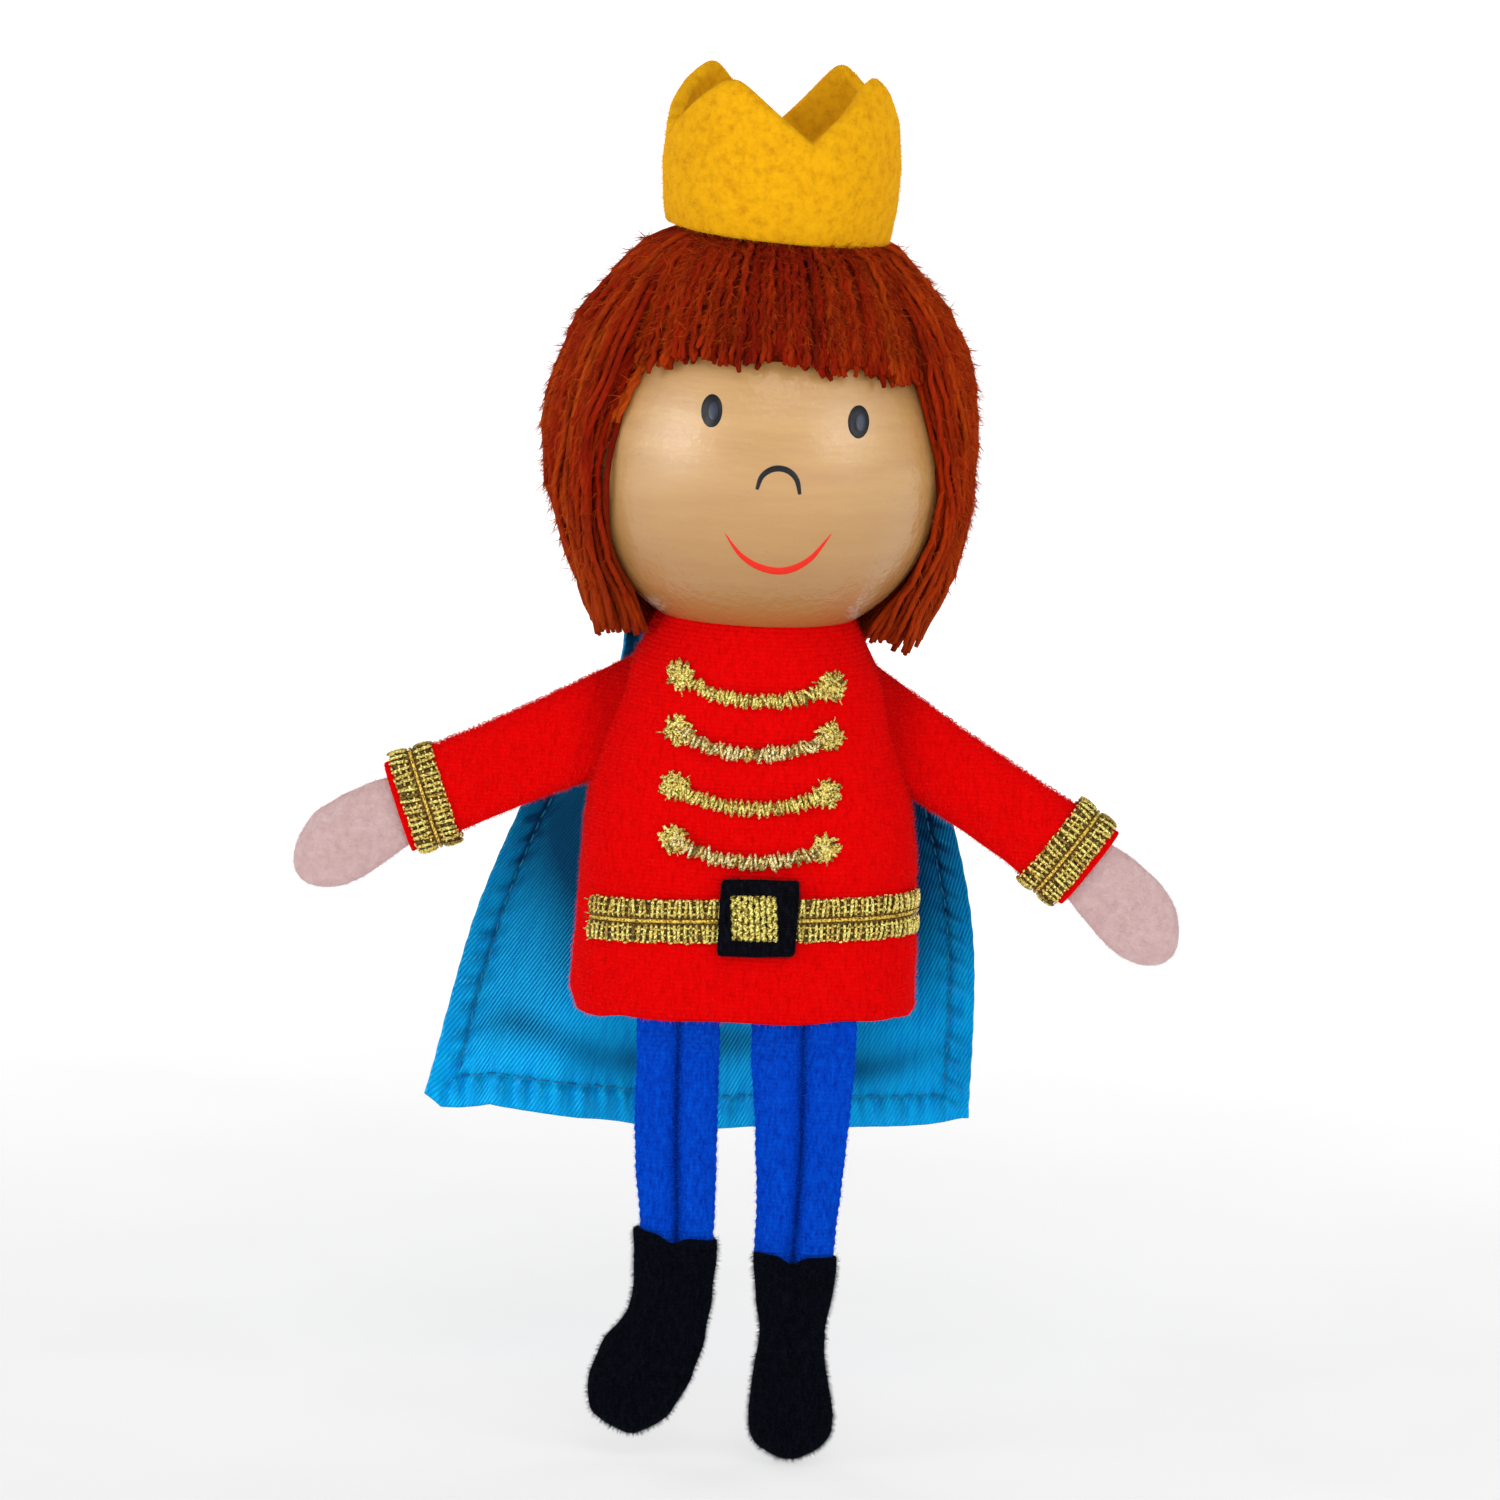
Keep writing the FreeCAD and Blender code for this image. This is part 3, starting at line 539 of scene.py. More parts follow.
def floor_look():
    """Pale acrylic lit from inside, as on a product table, as brightly as its tone says."""
    look = Look("pale floor", Roughness=0.9, Specular_IOR_Level=0.0)
    look.shader.inputs["Emission Color"].default_value = (1, 1, 1, 1)
    look.plug(look.shader.inputs["Emission Strength"], look.tone)
    mottle = look.noise(look.place, 30.0, 2.0)
    return look.finish(look.ramp(mottle, [(0.2, (0.38, 0.38, 0.38)), (0.8, (0.42, 0.42, 0.42))]))


WOOD = wood_look()
BLACK_PAINT = paint_look("black paint", (0.004, 0.004, 0.006), (0.010, 0.010, 0.014))
EYE_SHINE = paint_look("eye highlight", (0.030, 0.042, 0.075), (0.018, 0.026, 0.05))
RED_PAINT = paint_look("red paint", (0.84, 0.022, 0.001), (0.76, 0.010, 0.001))
YARN = yarn_look()
YARN_FUZZ = nap_look("yarn fuzz", (0.18, 0.003, 0.0008), (0.52, 0.065, 0.005))
YELLOW_FELT = felt_look("yellow felt", (0.90, 0.43, 0.003), (0.66, 0.26, 0.0015), (0.97, 0.54, 0.006))
YELLOW_FUZZ = nap_look("yellow felt fibres", (0.86, 0.42, 0.003), (0.98, 0.60, 0.03))
PINK_FELT = felt_look("pink felt", (0.68, 0.47, 0.46), (0.57, 0.36, 0.36), (0.76, 0.58, 0.58))
PINK_FUZZ = nap_look("pink felt fibres", (0.68, 0.48, 0.47), (0.82, 0.68, 0.68))
RED = velour_look(
    "red velour", (0.82, 0.0008, 0.0010), (0.58, 0.0002, 0.0008), (0.90, 0.003, 0.003), crease=True
)
RED_FUZZ = nap_look("red pile", (0.78, 0.001, 0.002), (0.95, 0.03, 0.02))
BLUE = velour_look(
    "blue velour", (0.0006, 0.066, 0.62), (0.0003, 0.024, 0.33), (0.0015, 0.13, 0.80), crease=True
)
BLUE_FUZZ = nap_look("blue pile", (0.0006, 0.08, 0.66), (0.004, 0.17, 0.92))
BLACK = velour_look(
    "black velour", (0.0022, 0.0032, 0.0065), (0.0007, 0.0010, 0.0022), (0.007, 0.010, 0.018)
)
BLACK_FUZZ = nap_look("black pile", (0.0026, 0.0036, 0.0065), (0.012, 0.016, 0.026))
PATCH = velour_look(
    "black woven patch", (0.004, 0.004, 0.007), (0.001, 0.001, 0.002), (0.016, 0.016, 0.028), 0.3, 0.12
)
GOLD = gold_look()
PALE_GOLD = gold_look("pale gold thread", (1.0, 0.90, 0.50), (0.20, 0.11, 0.03))
BRIGHT_GOLD = gold_look("bright gold thread", (0.98, 0.90, 0.26), (0.10, 0.08, 0.01))
GOLD_CORD = gold_look("gold cord", (0.95, 0.66, 0.10), (0.45, 0.26, 0.02))
OVERLOCK = nap_look("overlock thread", (0.74, 0.08, 0.08), (0.86, 0.34, 0.34))
SATIN = satin_look()
FLOOR = floor_look()
CAPE_THREAD = nap_look("cape thread", (0.01, 0.16, 0.34), (0.03, 0.26, 0.48))

# ------------------------------------------------------------------ head


# How far above the face the camera looks from, in degrees.
CAMERA_RISE = 8.5


def on_ball(across, up):
    """The point of the ball seen at a place in the face's picture, which is looked at from above."""
    tilt = math.radians(CAMERA_RISE)
    across, up = np.asarray(across, float), np.asarray(up, float)
    depth = np.sqrt(np.maximum(BALL_R**2 - across**2 - up**2, 0))
    cos, sin = math.cos(tilt), math.sin(tilt)
    local = np.stack([across, -depth * cos + up * sin, up * cos + depth * sin], -1)
    return BALL_C + local


def make_ball():
    """The turned ball with its bore, whose rim is eased."""
    rim, depth = 0.5, 20.0
    start = math.asin((BORE_R + rim) / BALL_R)
    polar = np.linspace(math.pi, start, 90)
    outside = np.stack([BALL_R * np.sin(polar), BALL_C[2] - BALL_R * np.cos(polar)], 1)
    ease = np.linspace(0.15, 1, 6)[:, None]
    foot = outside[-1]
    edge = foot + (np.array([BORE_R, 0.45]) - foot) * ease + np.array([0, -0.12]) * np.sin(ease * math.pi)
    bore = np.array([[BORE_R, 4.0], [BORE_R, depth], [BORE_R * 0.5, depth], [0.01, depth]])
    profile = np.vstack([outside, edge, bore])
    a = turns(128)
    ring = np.stack([np.cos(a), np.sin(a)], 1)
    points = np.zeros((len(profile), len(a), 3))
    points[..., :2] = profile[:, None, :1] * ring
    points[..., 2] = profile[:, 1:]
    skin = Skin()
    skin.grid(points, loop=True)
    thing = skin.make("wooden_ball", WOOD)
    attach(thing, "head", "wood", "head_ball")


def make_spot(name, centre, half, lift, material):
    """A domed oval of paint."""
    rings = np.linspace(0, 1, 12)
    a = turns(48)
    across = centre[0] + half[0] * rings[:, None] * np.cos(a)
    up = centre[1] + half[1] * rings[:, None] * np.sin(a)
    dome = np.broadcast_to(lift * (1 - rings[:, None] ** 4) - 0.02, across.shape)
    skin = Skin()
    flat = on_ball(across, up)
    skin.grid((flat + unit(flat - BALL_C) * dome[..., None])[::-1], loop=True)
    thing = skin.make(name, material)
    attach(thing, "head", "wood")


def make_stroke(name, line, width, material):
    """A brush stroke of paint whose width changes along it."""
    line = curve(line, 60)
    along = np.linspace(0, 1, len(line))
    w = width(along)
    ahead = unit(np.gradient(line, axis=0))
    side = np.stack([-ahead[:, 1], ahead[:, 0]], 1)
    across = np.linspace(-1, 1, 9)
    flat = line[:, None] + side[:, None] * (w[:, None] * across)[..., None]
    rise = 0.10 * (1 - across**4) * np.minimum(1, w / 0.15)[:, None] - 0.02
    points = on_ball(flat[..., 0], flat[..., 1])
    points = points + unit(points - BALL_C) * rise[..., None]
    skin = Skin()
    skin.grid(points)
    thing = skin.make(name, material)
    attach(thing, "head", "wood")


def make_face():
    for side, centre in (("right", (-5.65, 3.7)), ("left", (9.7, 3.3))):
        make_spot(f"eye_{side}", centre, (1.15, 1.8), 0.16, BLACK_PAINT)
        shine = (centre[0] + 0.16, centre[1] - 0.05)
        make_spot(f"eye_shine_{side}", shine, (0.68, 1.3), 0.20, EYE_SHINE)
    nose = [(-0.6, -4.3), (-0.1, -2.9), (1.1, -2.1), (2.5, -2.2), (3.5, -3.1), (3.9, -4.6)]
    make_stroke("nose", nose, lambda s: 0.34 * np.sin(math.pi * (0.12 + 0.76 * s)) ** 0.6, BLACK_PAINT)
    smile = [(-3.7, -9.0), (-1.9, -11.2), (0.4, -12.4), (2.9, -12.5), (5.3, -11.2), (7.4, -8.5)]
    make_stroke("smile", smile, lambda s: 0.05 + 0.34 * np.sin(math.pi * s) ** 0.9, RED_PAINT)


# Hair: a shell of yarn whose strands leave the crown and hang to the fringe, chin and nape.
# The angle from the top, and the distance from the ball's centre, of the hair's outside.
TOP_POLAR = [(0, 25.0), (22, 25.6), (30, 25.9), (45, 25.4), (60, 24.7), (75, 23.7), (90, 22.8)]
# How far below the ball's centre, and how far from the head's axis.
SIDE_FALL = [(0, 22.8), (4, 22.6), (7.5, 21.7), (11, 20.6), (15, 19.1), (18, 17.9), (22, 16.6)]
# Where the fringe ends and the curtains start, in degrees from the face, on each side.
FRINGE_ENDS = {"left": 57.0, "right": 50.0}


def fringe_end(azimuth):
    return FRINGE_ENDS["left" if azimuth > 0 else "right"]


def strand(azimuth, layer, end, rng, n=26):
    """One strand's points from under the crown to its end height. Azimuth 0 is the face."""
    sideways = abs(math.sin(math.radians(azimuth)))
    slim = (0.028, 0.017, -0.012, -0.018) if azimuth < 0 else (0.022, 0.028, 0.032, 0.028)
    polar = np.linspace(17, 90, n)
    lean = 1 - sideways * np.interp(polar, [30, 45, 62, 82, 90], [0, *slim])
    radius = 20.6 + (np.interp(polar, *np.array(TOP_POLAR).T) * lean - 20.6) * layer
    if end > 0:  # the fringe hugs the forehead towards its ends
        radius = 20.6 + (radius - 20.6) * np.interp(polar, [34, 58], [1, 0.34])
    out, up = radius * np.sin(np.radians(polar)), radius * np.cos(np.radians(polar))
    if end < 0:
        drop = np.linspace(0, -end, n)[1:]
        hug = np.sqrt(np.maximum(20.6**2 - np.minimum(drop, 14.5) ** 2, 0))
        inside = hug - np.maximum(drop - 14.5, 0) * 0.55
        outside = np.interp(drop, *np.array(SIDE_FALL).T)
        ease = np.clip(drop / 12, 0, 1)
        outside = outside * (1 - sideways * (slim[3] * (1 - ease) + (0.02 if azimuth < 0 else 0.0) * ease))
        out = np.concatenate([out, inside + (outside - inside) * layer])
        up = np.concatenate([up, -drop])
    keep = up >= end
    out, up = out[keep], up[keep]
    run = np.concatenate([[0], np.cumsum(np.hypot(np.diff(out), np.diff(up)))])
    at = np.linspace(0, run[-1], n)
    out, up = np.interp(at, run, out), np.interp(at, run, up)
    turn = abs(azimuth)
    share = np.clip((turn - fringe_end(azimuth) + 10) / 20, 0, 1) * np.clip((175 - turn) / 120, 0, 1)
    drift = np.interp(-up, [-10, 0, 5, 11, 18, 22], [0, 7, 12, 21, 33, 38]) * share
    clump = 2.0 * math.sin(math.radians(azimuth) * 19 + 0.8) * (at / 30) ** 1.5
    wobble = rng.normal(0, 1.3) + 2.0 * np.sin(at / rng.uniform(4, 10) + rng.uniform(0, 6.3))
    angle = np.radians(np.sign(azimuth) * (turn + drift) + clump + wobble * np.minimum(at / 18, 1.2))
    crimp = at * 2 * math.pi / rng.uniform(2.0, 3.4) + rng.uniform(0, 6.3)
    out = out + 0.16 * np.sin(crimp) + 0.22 * np.sin(at / rng.uniform(1.5, 4) + rng.uniform(0, 6.3))
    angle = angle + 0.16 * np.cos(crimp) / np.maximum(out, 5)
    place = np.stack([out * np.sin(angle), -out * np.cos(angle), up], 1)
    return BALL_C + place


def hair_end(azimuth, rng):
    """The height above the ball's middle at which a strand is cut."""
    turn, edge = abs(azimuth), fringe_end(azimuth)
    if turn < edge:
        clump = 0.35 * math.sin(math.radians(azimuth) * 13 + 1.0)
        return 11.6 - 1.9 * (turn / edge) ** 2 - 0.012 * azimuth + clump + rng.normal(0, 0.4)
    low = -19.2 if azimuth > 0 else -19.0
    return low + 1.0 * (max(turn - 90, 0) / 90) + rng.normal(0, 0.5)


def yarn_tone(azimuth, layer, rng):
    """Deep red in the middle of the fringe, and more orange towards the sides, in clumps; the inner layers
    get a darker tone, as painted shade under the outer ones.
    """
    side = min(abs(azimuth) / 70, 1)
    turn = math.radians(azimuth)
    clump = 0.12 * math.sin(turn * 17 + 0.5) + 0.10 * math.sin(turn * 31 + 2.0)
    return np.clip(0.20 + 0.30 * side + 0.15 * layer + clump + rng.normal(0, 0.13), 0, 1)


def make_hair():
    rng = np.random.default_rng(11)
    groups = {name: ([], []) for name in ("hair_fringe", "hair_left", "hair_right", "hair_back")}

    def grow(azimuth, layer, end, tone):
        turn = abs(azimuth)
        side = "hair_left" if azimuth > 0 else "hair_right"
        name = "hair_fringe" if turn < fringe_end(azimuth) else side if turn < 92 else "hair_back"
        groups[name][0].append(strand(azimuth, layer, end, rng))
        groups[name][1].append(tone)

    for layer, spacing in ((0.06, 2.1), (0.30, 1.8), (0.54, 1.6), (0.76, 1.5), (0.97, 1.4)):
        for azimuth in np.arange(-180, 180, spacing):
            azimuth = azimuth + rng.uniform(-0.8, 0.8)
            depth = np.clip(layer + rng.uniform(-0.12, 0.06), 0, 1.03)
            grow(azimuth, depth, hair_end(azimuth, rng), yarn_tone(azimuth, layer, rng))
    # a bright wisp beside the right eye, and a few long strands at the left
    wisp = ((-47, 0.2, 4.8), (-46, 0.1, 5.6), (-48, 0.3, 3.9), (-49, 0.15, 3.2), (-49.5, 0.4, 2.6))
    stray = ((74, 0.95, -21.4), (76, 0.8, -21.2), (78, 0.9, -20.8), (75, 0.7, -21.0))
    for tone, extra in ((0.95, wisp), (0.6, stray)):
        for azimuth, layer, end in extra:
            grow(azimuth, layer, end, tone)
    for name, (paths, tones) in groups.items():
        paths, tones = np.array(paths), np.array(tones)
        n = paths.shape[1]
        radius = 0.35 * np.interp(np.linspace(0, 1, n), [0, 0.04, 0.96, 1], [0.5, 1, 1, 0.7])
        skin = Skin()
        skin.tubes(paths, radius, 5, up=unit(paths - BALL_C), tone=tones)
        thing = skin.make(name + "_yarn", YARN)
        attach(thing, "head", "hair_yarn", name)
        fuzz = Skin()
        count = 76 * len(paths)
        which, at = rng.integers(0, len(paths), count), rng.integers(3, n - 3, count)
        start = paths[which, at]
        ahead = unit(paths[which, at] - paths[which, at - 1])
        out = unit(start - BALL_C)
        jitter = rng.normal(0, 0.36, (count, 3))
        forward, lifted = rng.uniform(0.4, 1.2, (count, 1)), rng.uniform(0, 0.22, (count, 1))
        way = unit(ahead * forward + out * lifted + jitter)
        reach = rng.uniform(0.6, 2.1, (count, 1))
        foot = start + out * 0.28
        fuzz.spikes(foot, foot + way * reach, 0.055, np.clip(tones[which] + rng.normal(0, 0.2, count), 0, 1))
        thing = fuzz.make(name + "_fuzz", YARN_FUZZ, smooth=False)
        attach(thing, "head", "hair_yarn")
    # painted shade: a cap in the yarn's shadow colour lies under the strands and shows as the dark between
    # them
    cap = Skin()
    a = turns(96)
    polar = np.linspace(1, 104, 60)[:, None]
    turn = np.degrees(np.arctan2(np.cos(a), -np.sin(a)))
    edge = np.where(turn > 0, FRINGE_ENDS["left"], FRINGE_ENDS["right"])
    bare = (polar > 54) & (np.abs(turn) < edge + np.interp(polar, [60, 90, 104], [4, 11, 20]))
    radius = np.where(bare, 19.5, 20.75) - 0.5 * np.clip((polar - 95) / 9, 0, 1)
    across, up = radius * np.sin(np.radians(polar)), radius * np.cos(np.radians(polar))
    cap.grid(BALL_C + np.stack([across * np.cos(a), across * np.sin(a), up], -1)[::-1], loop=True, tone=0.0)
    thing = cap.make("hair_backing_shade", YARN)
    attach(thing, "head", "hair_yarn")


# The way each of the crown's points faces, in degrees from the front towards +X, and its height.
CROWN_POINTS = [(-28, -0.5), (60, 0.0), (146, 0.3), (225, 0.2)]


def make_crown():
    """A felt band cut into four round-tipped points, which aren't quite even."""
    base, valley, tip, thick = 23.9, 34.2, 40.9, 1.7
    turn = np.linspace(0, 360, 300, endpoint=False)
    a = np.radians(turn - 90)
    ways = np.array([w for w, _ in CROWN_POINTS] + [CROWN_POINTS[0][0] + 360])
    lifts = np.array([h for _, h in CROWN_POINTS] + [CROWN_POINTS[0][1]])
    turned = (turn - ways[0]) % 360 + ways[0]
    gap = np.searchsorted(ways, turned, side="right") - 1
    share = (turned - ways[gap]) / (ways[gap + 1] - ways[gap])
    away = np.minimum(share, 1 - share) * 2
    lift = np.where(share < 0.5, lifts[gap], lifts[gap + 1])
    soft = 0.16
    peak = (math.hypot(1, soft) - np.hypot(away, soft)) / (math.hypot(1, soft) - soft)
    top = valley + (tip - valley + lift) * peak**1.05
    slant = 0.75 * np.cos(a) - 0.25 * np.sin(a)
    bottom = base - slant
    share = np.linspace(0, 1, 40)[:, None]
    height = bottom + (top - bottom) * share
    flare = np.interp(height, [22, 24, 27, 31, 35, 42], [11.7, 11.9, 12.4, 12.6, 12.3, 11.7])
    outer = flare * (1 + 0.012 * np.sin(3 * a + 0.7) + 0.01 * np.sin(5 * a))
    mid = outer - thick / 2
    rounding = np.clip((height - (top - 0.75)) / 0.75, 0, 1) ** 2 * 0.96
    half = thick / 2 * np.sqrt(1 - rounding)

    def wall(radius):
        return np.stack([radius * np.cos(a), radius * np.sin(a), np.broadcast_to(height, radius.shape)], -1)

    band = np.concatenate([wall(mid + half), wall(mid - half)[::-1]])
    band = band + 0.09 * waves(band, 3, 2.2)[..., None] * unit(band * (1, 1, 0))
    band = np.concatenate([band, band[:1]])
    skin = Skin()
    skin.grid(BALL_C + (0.4, 0, 0) + band, loop=True)
    thing = outward(skin.make("felt_crown", YELLOW_FELT))
    attach(thing, "head", "yellow_felt", "crown")
    fuzz = nap(thing, "felt_crown_fibres", YELLOW_FUZZ, 24000, 0.5, (0, 0, 0), seed=5)
    attach(fuzz, "head", "yellow_felt")


# ------------------------------------------------------------------ tunic

# Height, half width, half depth, how square the section is, and how far left its middle hangs.
TUNIC = np.array([
    (1.3, 10.3, 10.3, 2.0, 0.0),
    (0.4, 10.9, 10.8, 2.0, 0.0),
    (-2.0, 12.0, 11.5, 2.1, 0.0),
    (-4.6, 13.3, 11.7, 2.3, 0.0),
    (-9.0, 14.7, 11.7, 2.6, 0.0),
    (-17.1, 17.1, 11.6, 3.0, 0.1),
    (-24.0, 17.9, 11.6, 3.1, 0.35),
    (-36.0, 18.4, 11.7, 3.1, 0.35),
    (-39.8, 18.5, 11.8, 3.1, 0.35),
    (HEM - 0.9, 17.9, 11.4, 3.0, 0.35),
])


def tunic_point(turn, height, lift=0.0):
    """A point of the tunic. Turn 0 is the left side seam, and the front is from pi to 2 pi."""
    table = TUNIC[::-1].T
    wide, deep, square, shift = (np.interp(height, table[0], row) for row in table[1:])
    power = 2 / square
    cos, sin = np.cos(turn), np.sin(turn)
    x = shift + (wide + lift) * squared(cos, power)
    y = (deep + lift) * squared(sin, power)
    return np.stack(np.broadcast_arrays(x, y, height), -1)


def front_of_tunic(x, height, lift=0.0):
    """The point of the tunic's front at a distance across."""
    table = TUNIC[::-1].T
    wide, deep, square, shift = (np.interp(height, table[0], row) for row in table[1:])
    share = np.clip(np.abs(x - shift) / wide, 0, 1)
    y = -deep * (1 - share**square) ** (1 / square) - lift
    return np.stack(np.broadcast_arrays(x, y, height), -1)


def panel(name, first, last):
    """Half of the tunic's tube, as one closed layer of cloth whose lower edge is turned softly."""
    rows, cols, thick = 150, 150, 1.0
    share = np.linspace(0, 1, rows)[:, None]
    fine = np.linspace(first, last, 2000)
    line = tunic_point(fine, -25.0)
    run = distances(line)
    turn = np.interp(np.linspace(0, run[-1], cols), run, fine)
    foot = HEM + 0.62 * np.cos(turn) + 0.14 * np.sin(turn * 5) + 0.1 * np.sin(turn * 11 + 1)
    height = 1.3 + (foot - 1.3) * share
    outer = tunic_point(turn, height)
    out = unit(outer * (1, 1, 0))
    seam = np.minimum(np.abs(turn - first), np.abs(turn - last))
    groove = -0.45 * np.exp(-((seam / 0.035) ** 2))
    soft = 0.22 * waves(outer, 21, 9.0) + 0.07 * waves(outer, 22, 2.5)
    outer = outer + out * (groove + soft * np.clip(share * 6, 0, 1))[..., None]
    lip = [outer[-1] - out[-1] * k - (0, 0, d) for k, d in ((0.15, 0.28), (0.5, 0.38), (0.85, 0.25))]
    rings = np.concatenate([outer, np.array(lip), (outer - out * thick)[::-1], outer[:1]])
    # painted shade: the tone darkens at the side seams under the arms, where the sleeves shade the body
    under_arm_shade = np.clip((rings[..., 2] + 30) / 8, 0, 1) * np.clip((1 - rings[..., 2]) / 5, 0, 1)
    bright = 1 - 0.5 * under_arm_shade * np.exp(-((seam / 0.22) ** 2))
    skin = Skin()
    skin.grid(rings, tone=bright)
    for side in (0, -1):
        edge = np.stack([outer[:, side], (outer - out * thick)[:, side]])
        skin.grid(edge if side else edge[::-1], tone=0.8)
    thing = outward(skin.make(name, RED))
    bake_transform(thing)
    return thing


def make_tunic():
    for label, first, last in (("front", math.pi, 2 * math.pi), ("back", 0, math.pi)):
        thing = panel(f"tunic_{label}_cloth", first, last)
        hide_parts(f"tunic_{label}", *(["neck_hem"] if label == "front" else []))
        fuzz = nap(thing, f"tunic_{label}_pile", RED_FUZZ, 30000, 0.6, seed=31 + len(label),
                   keep=lambda at, normal: (unit(at * (1, 1, 0)) * normal).sum(1) > -0.2)
        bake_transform(fuzz)


# ------------------------------------------------------------------ gold and buckle


def gold_stitches(skin, starts, ends, out, radius, rise, rng, n=7):
    """Short raised threads from starts to ends, each bulging outwards."""
    t = np.linspace(0, 1, n)[:, None]
    arch = np.sin(math.pi * np.clip(t, 0.02, 0.98)) ** 0.6
    paths = starts[:, None] + (ends - starts)[:, None] * t + out[:, None] * (rise * arch)
    swell = radius * np.interp(t[:, 0], [0, 0.12, 0.88, 1], [0.55, 1, 1, 0.55])
    up = np.broadcast_to(out[:, None], paths.shape)
    skin.tubes(paths, swell, 6, up=up, tone=rng.random(len(starts)) ** 0.7)


def sample(values, run, where):
    """Values given at distances along a line, read at other distances."""
    return np.stack([np.interp(where, run, values[:, k]) for k in range(3)], 1)


def braid(name, centre, out, across, half, body, pitch=0.6, seed=1, cord=0.2):
    """A woven band along a line of points: two ribbed edges and a cord between them."""
    rng = np.random.default_rng(seed)
    run = distances(centre)

    def frame_at(where):
        return sample(centre, run, where), unit(sample(out, run, where)), unit(sample(across, run, where))

    skin = Skin()
    for sign in (-1, 1):
        spots = np.arange(0.2, run[-1], pitch)
        spots = spots + rng.normal(0, 0.04, len(spots))
        m, oo, ww = frame_at(spots)
        ahead = unit(np.gradient(m, axis=0))
        lean = ahead * rng.normal(0, 0.07, (len(m), 1))
        reach = half + rng.normal(0, 0.05, (len(m), 1))
        start = m + ww * sign * 0.35 + oo * 0.3
        end = m + (ww + lean) * sign * reach + oo * 0.25
        gold_stitches(skin, start, end, oo, 0.185, 0.2, rng)
        for lane in (0.34, 0.62, 0.94):
            ties = spots + pitch / 2
            m, oo, ww = frame_at(ties)
            ahead = unit(np.gradient(m, axis=0)) * pitch * 0.3
            spot = m + ww * sign * half * lane + oo * 0.24 + ww * rng.normal(0, 0.08, (len(m), 1))
            gold_stitches(skin, spot - ahead, spot + ahead, oo, 0.12, 0.14, rng, 5)
    at = np.linspace(0, run[-1], int(run[-1] / 0.2))
    mid, o, w = frame_at(at)
    backing = [mid + w * half * 0.94 * k + o * 0.16 for k in (-1, -0.5, 0, 0.5, 1)]
    backing += [mid + w * half * 0.94 * k + o * 0.02 for k in (1, 0, -1)]
    skin.grid(np.stack(backing, 1), tone=0.0, loop=True)
    thing = skin.make(name, GOLD)
    attach(thing, body, "gold_braid")
    cords = Skin()
    ends = np.interp(np.linspace(0, 1, len(at)), [0, 0.01, 0.99, 1], [0.5, 1, 1, 0.5])
    line = mid + o * (0.30 + 0.04 * np.sin(at * 9))[:, None]
    cords.tubes(line[None], cord * ends, 8, up=o[None], flat=0.8, tone=0.7)
    middle_cord = cords.make(name + "_cord", GOLD_CORD)
    attach(middle_cord, body, "gold_braid")
    return thing


def belt_line(lift):
    """The line of the belt's middle round the tunic's front, which climbs a little to the left."""
    turn = np.linspace(math.pi + 0.56, 2 * math.pi - 0.19, 400)
    line = tunic_point(turn, (BELT_LOW[2] + BELT_HIGH[2]) / 2, lift)
    line[:, 2] += 0.052 * line[:, 0]
    line = curve(line[::8], 200)
    normal = np.cross(unit(np.gradient(line, axis=0)), (0, 0, 1.0))
    return line, unit(normal)


def make_belt():
    line, normal = belt_line(0.12)
    across = np.broadcast_to((0.0, 0.0, 1.0), line.shape)
    thing = braid("belt_braid", line, normal, across, 2.35, "torso", seed=41)
    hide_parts("belt")
    rng = np.random.default_rng(43)
    n = 14
    ends = line[0] + np.stack([np.zeros(n), np.full(n, -0.4), rng.uniform(-2.3, 2.3, n)], 1)
    tips = ends + np.stack([-rng.uniform(0.2, 0.9, n), rng.normal(0, 0.15, n), rng.normal(0, 0.3, n)], 1)
    middles = (ends + tips) / 2 + rng.normal(0, 0.06, (n, 3))
    frays = Skin()
    frays.tubes(np.stack([ends, middles, tips], 1), 0.05, 5, tone=0.8)
    thing = frays.make("belt_frays", GOLD)
    attach(thing, "torso", "gold_braid")


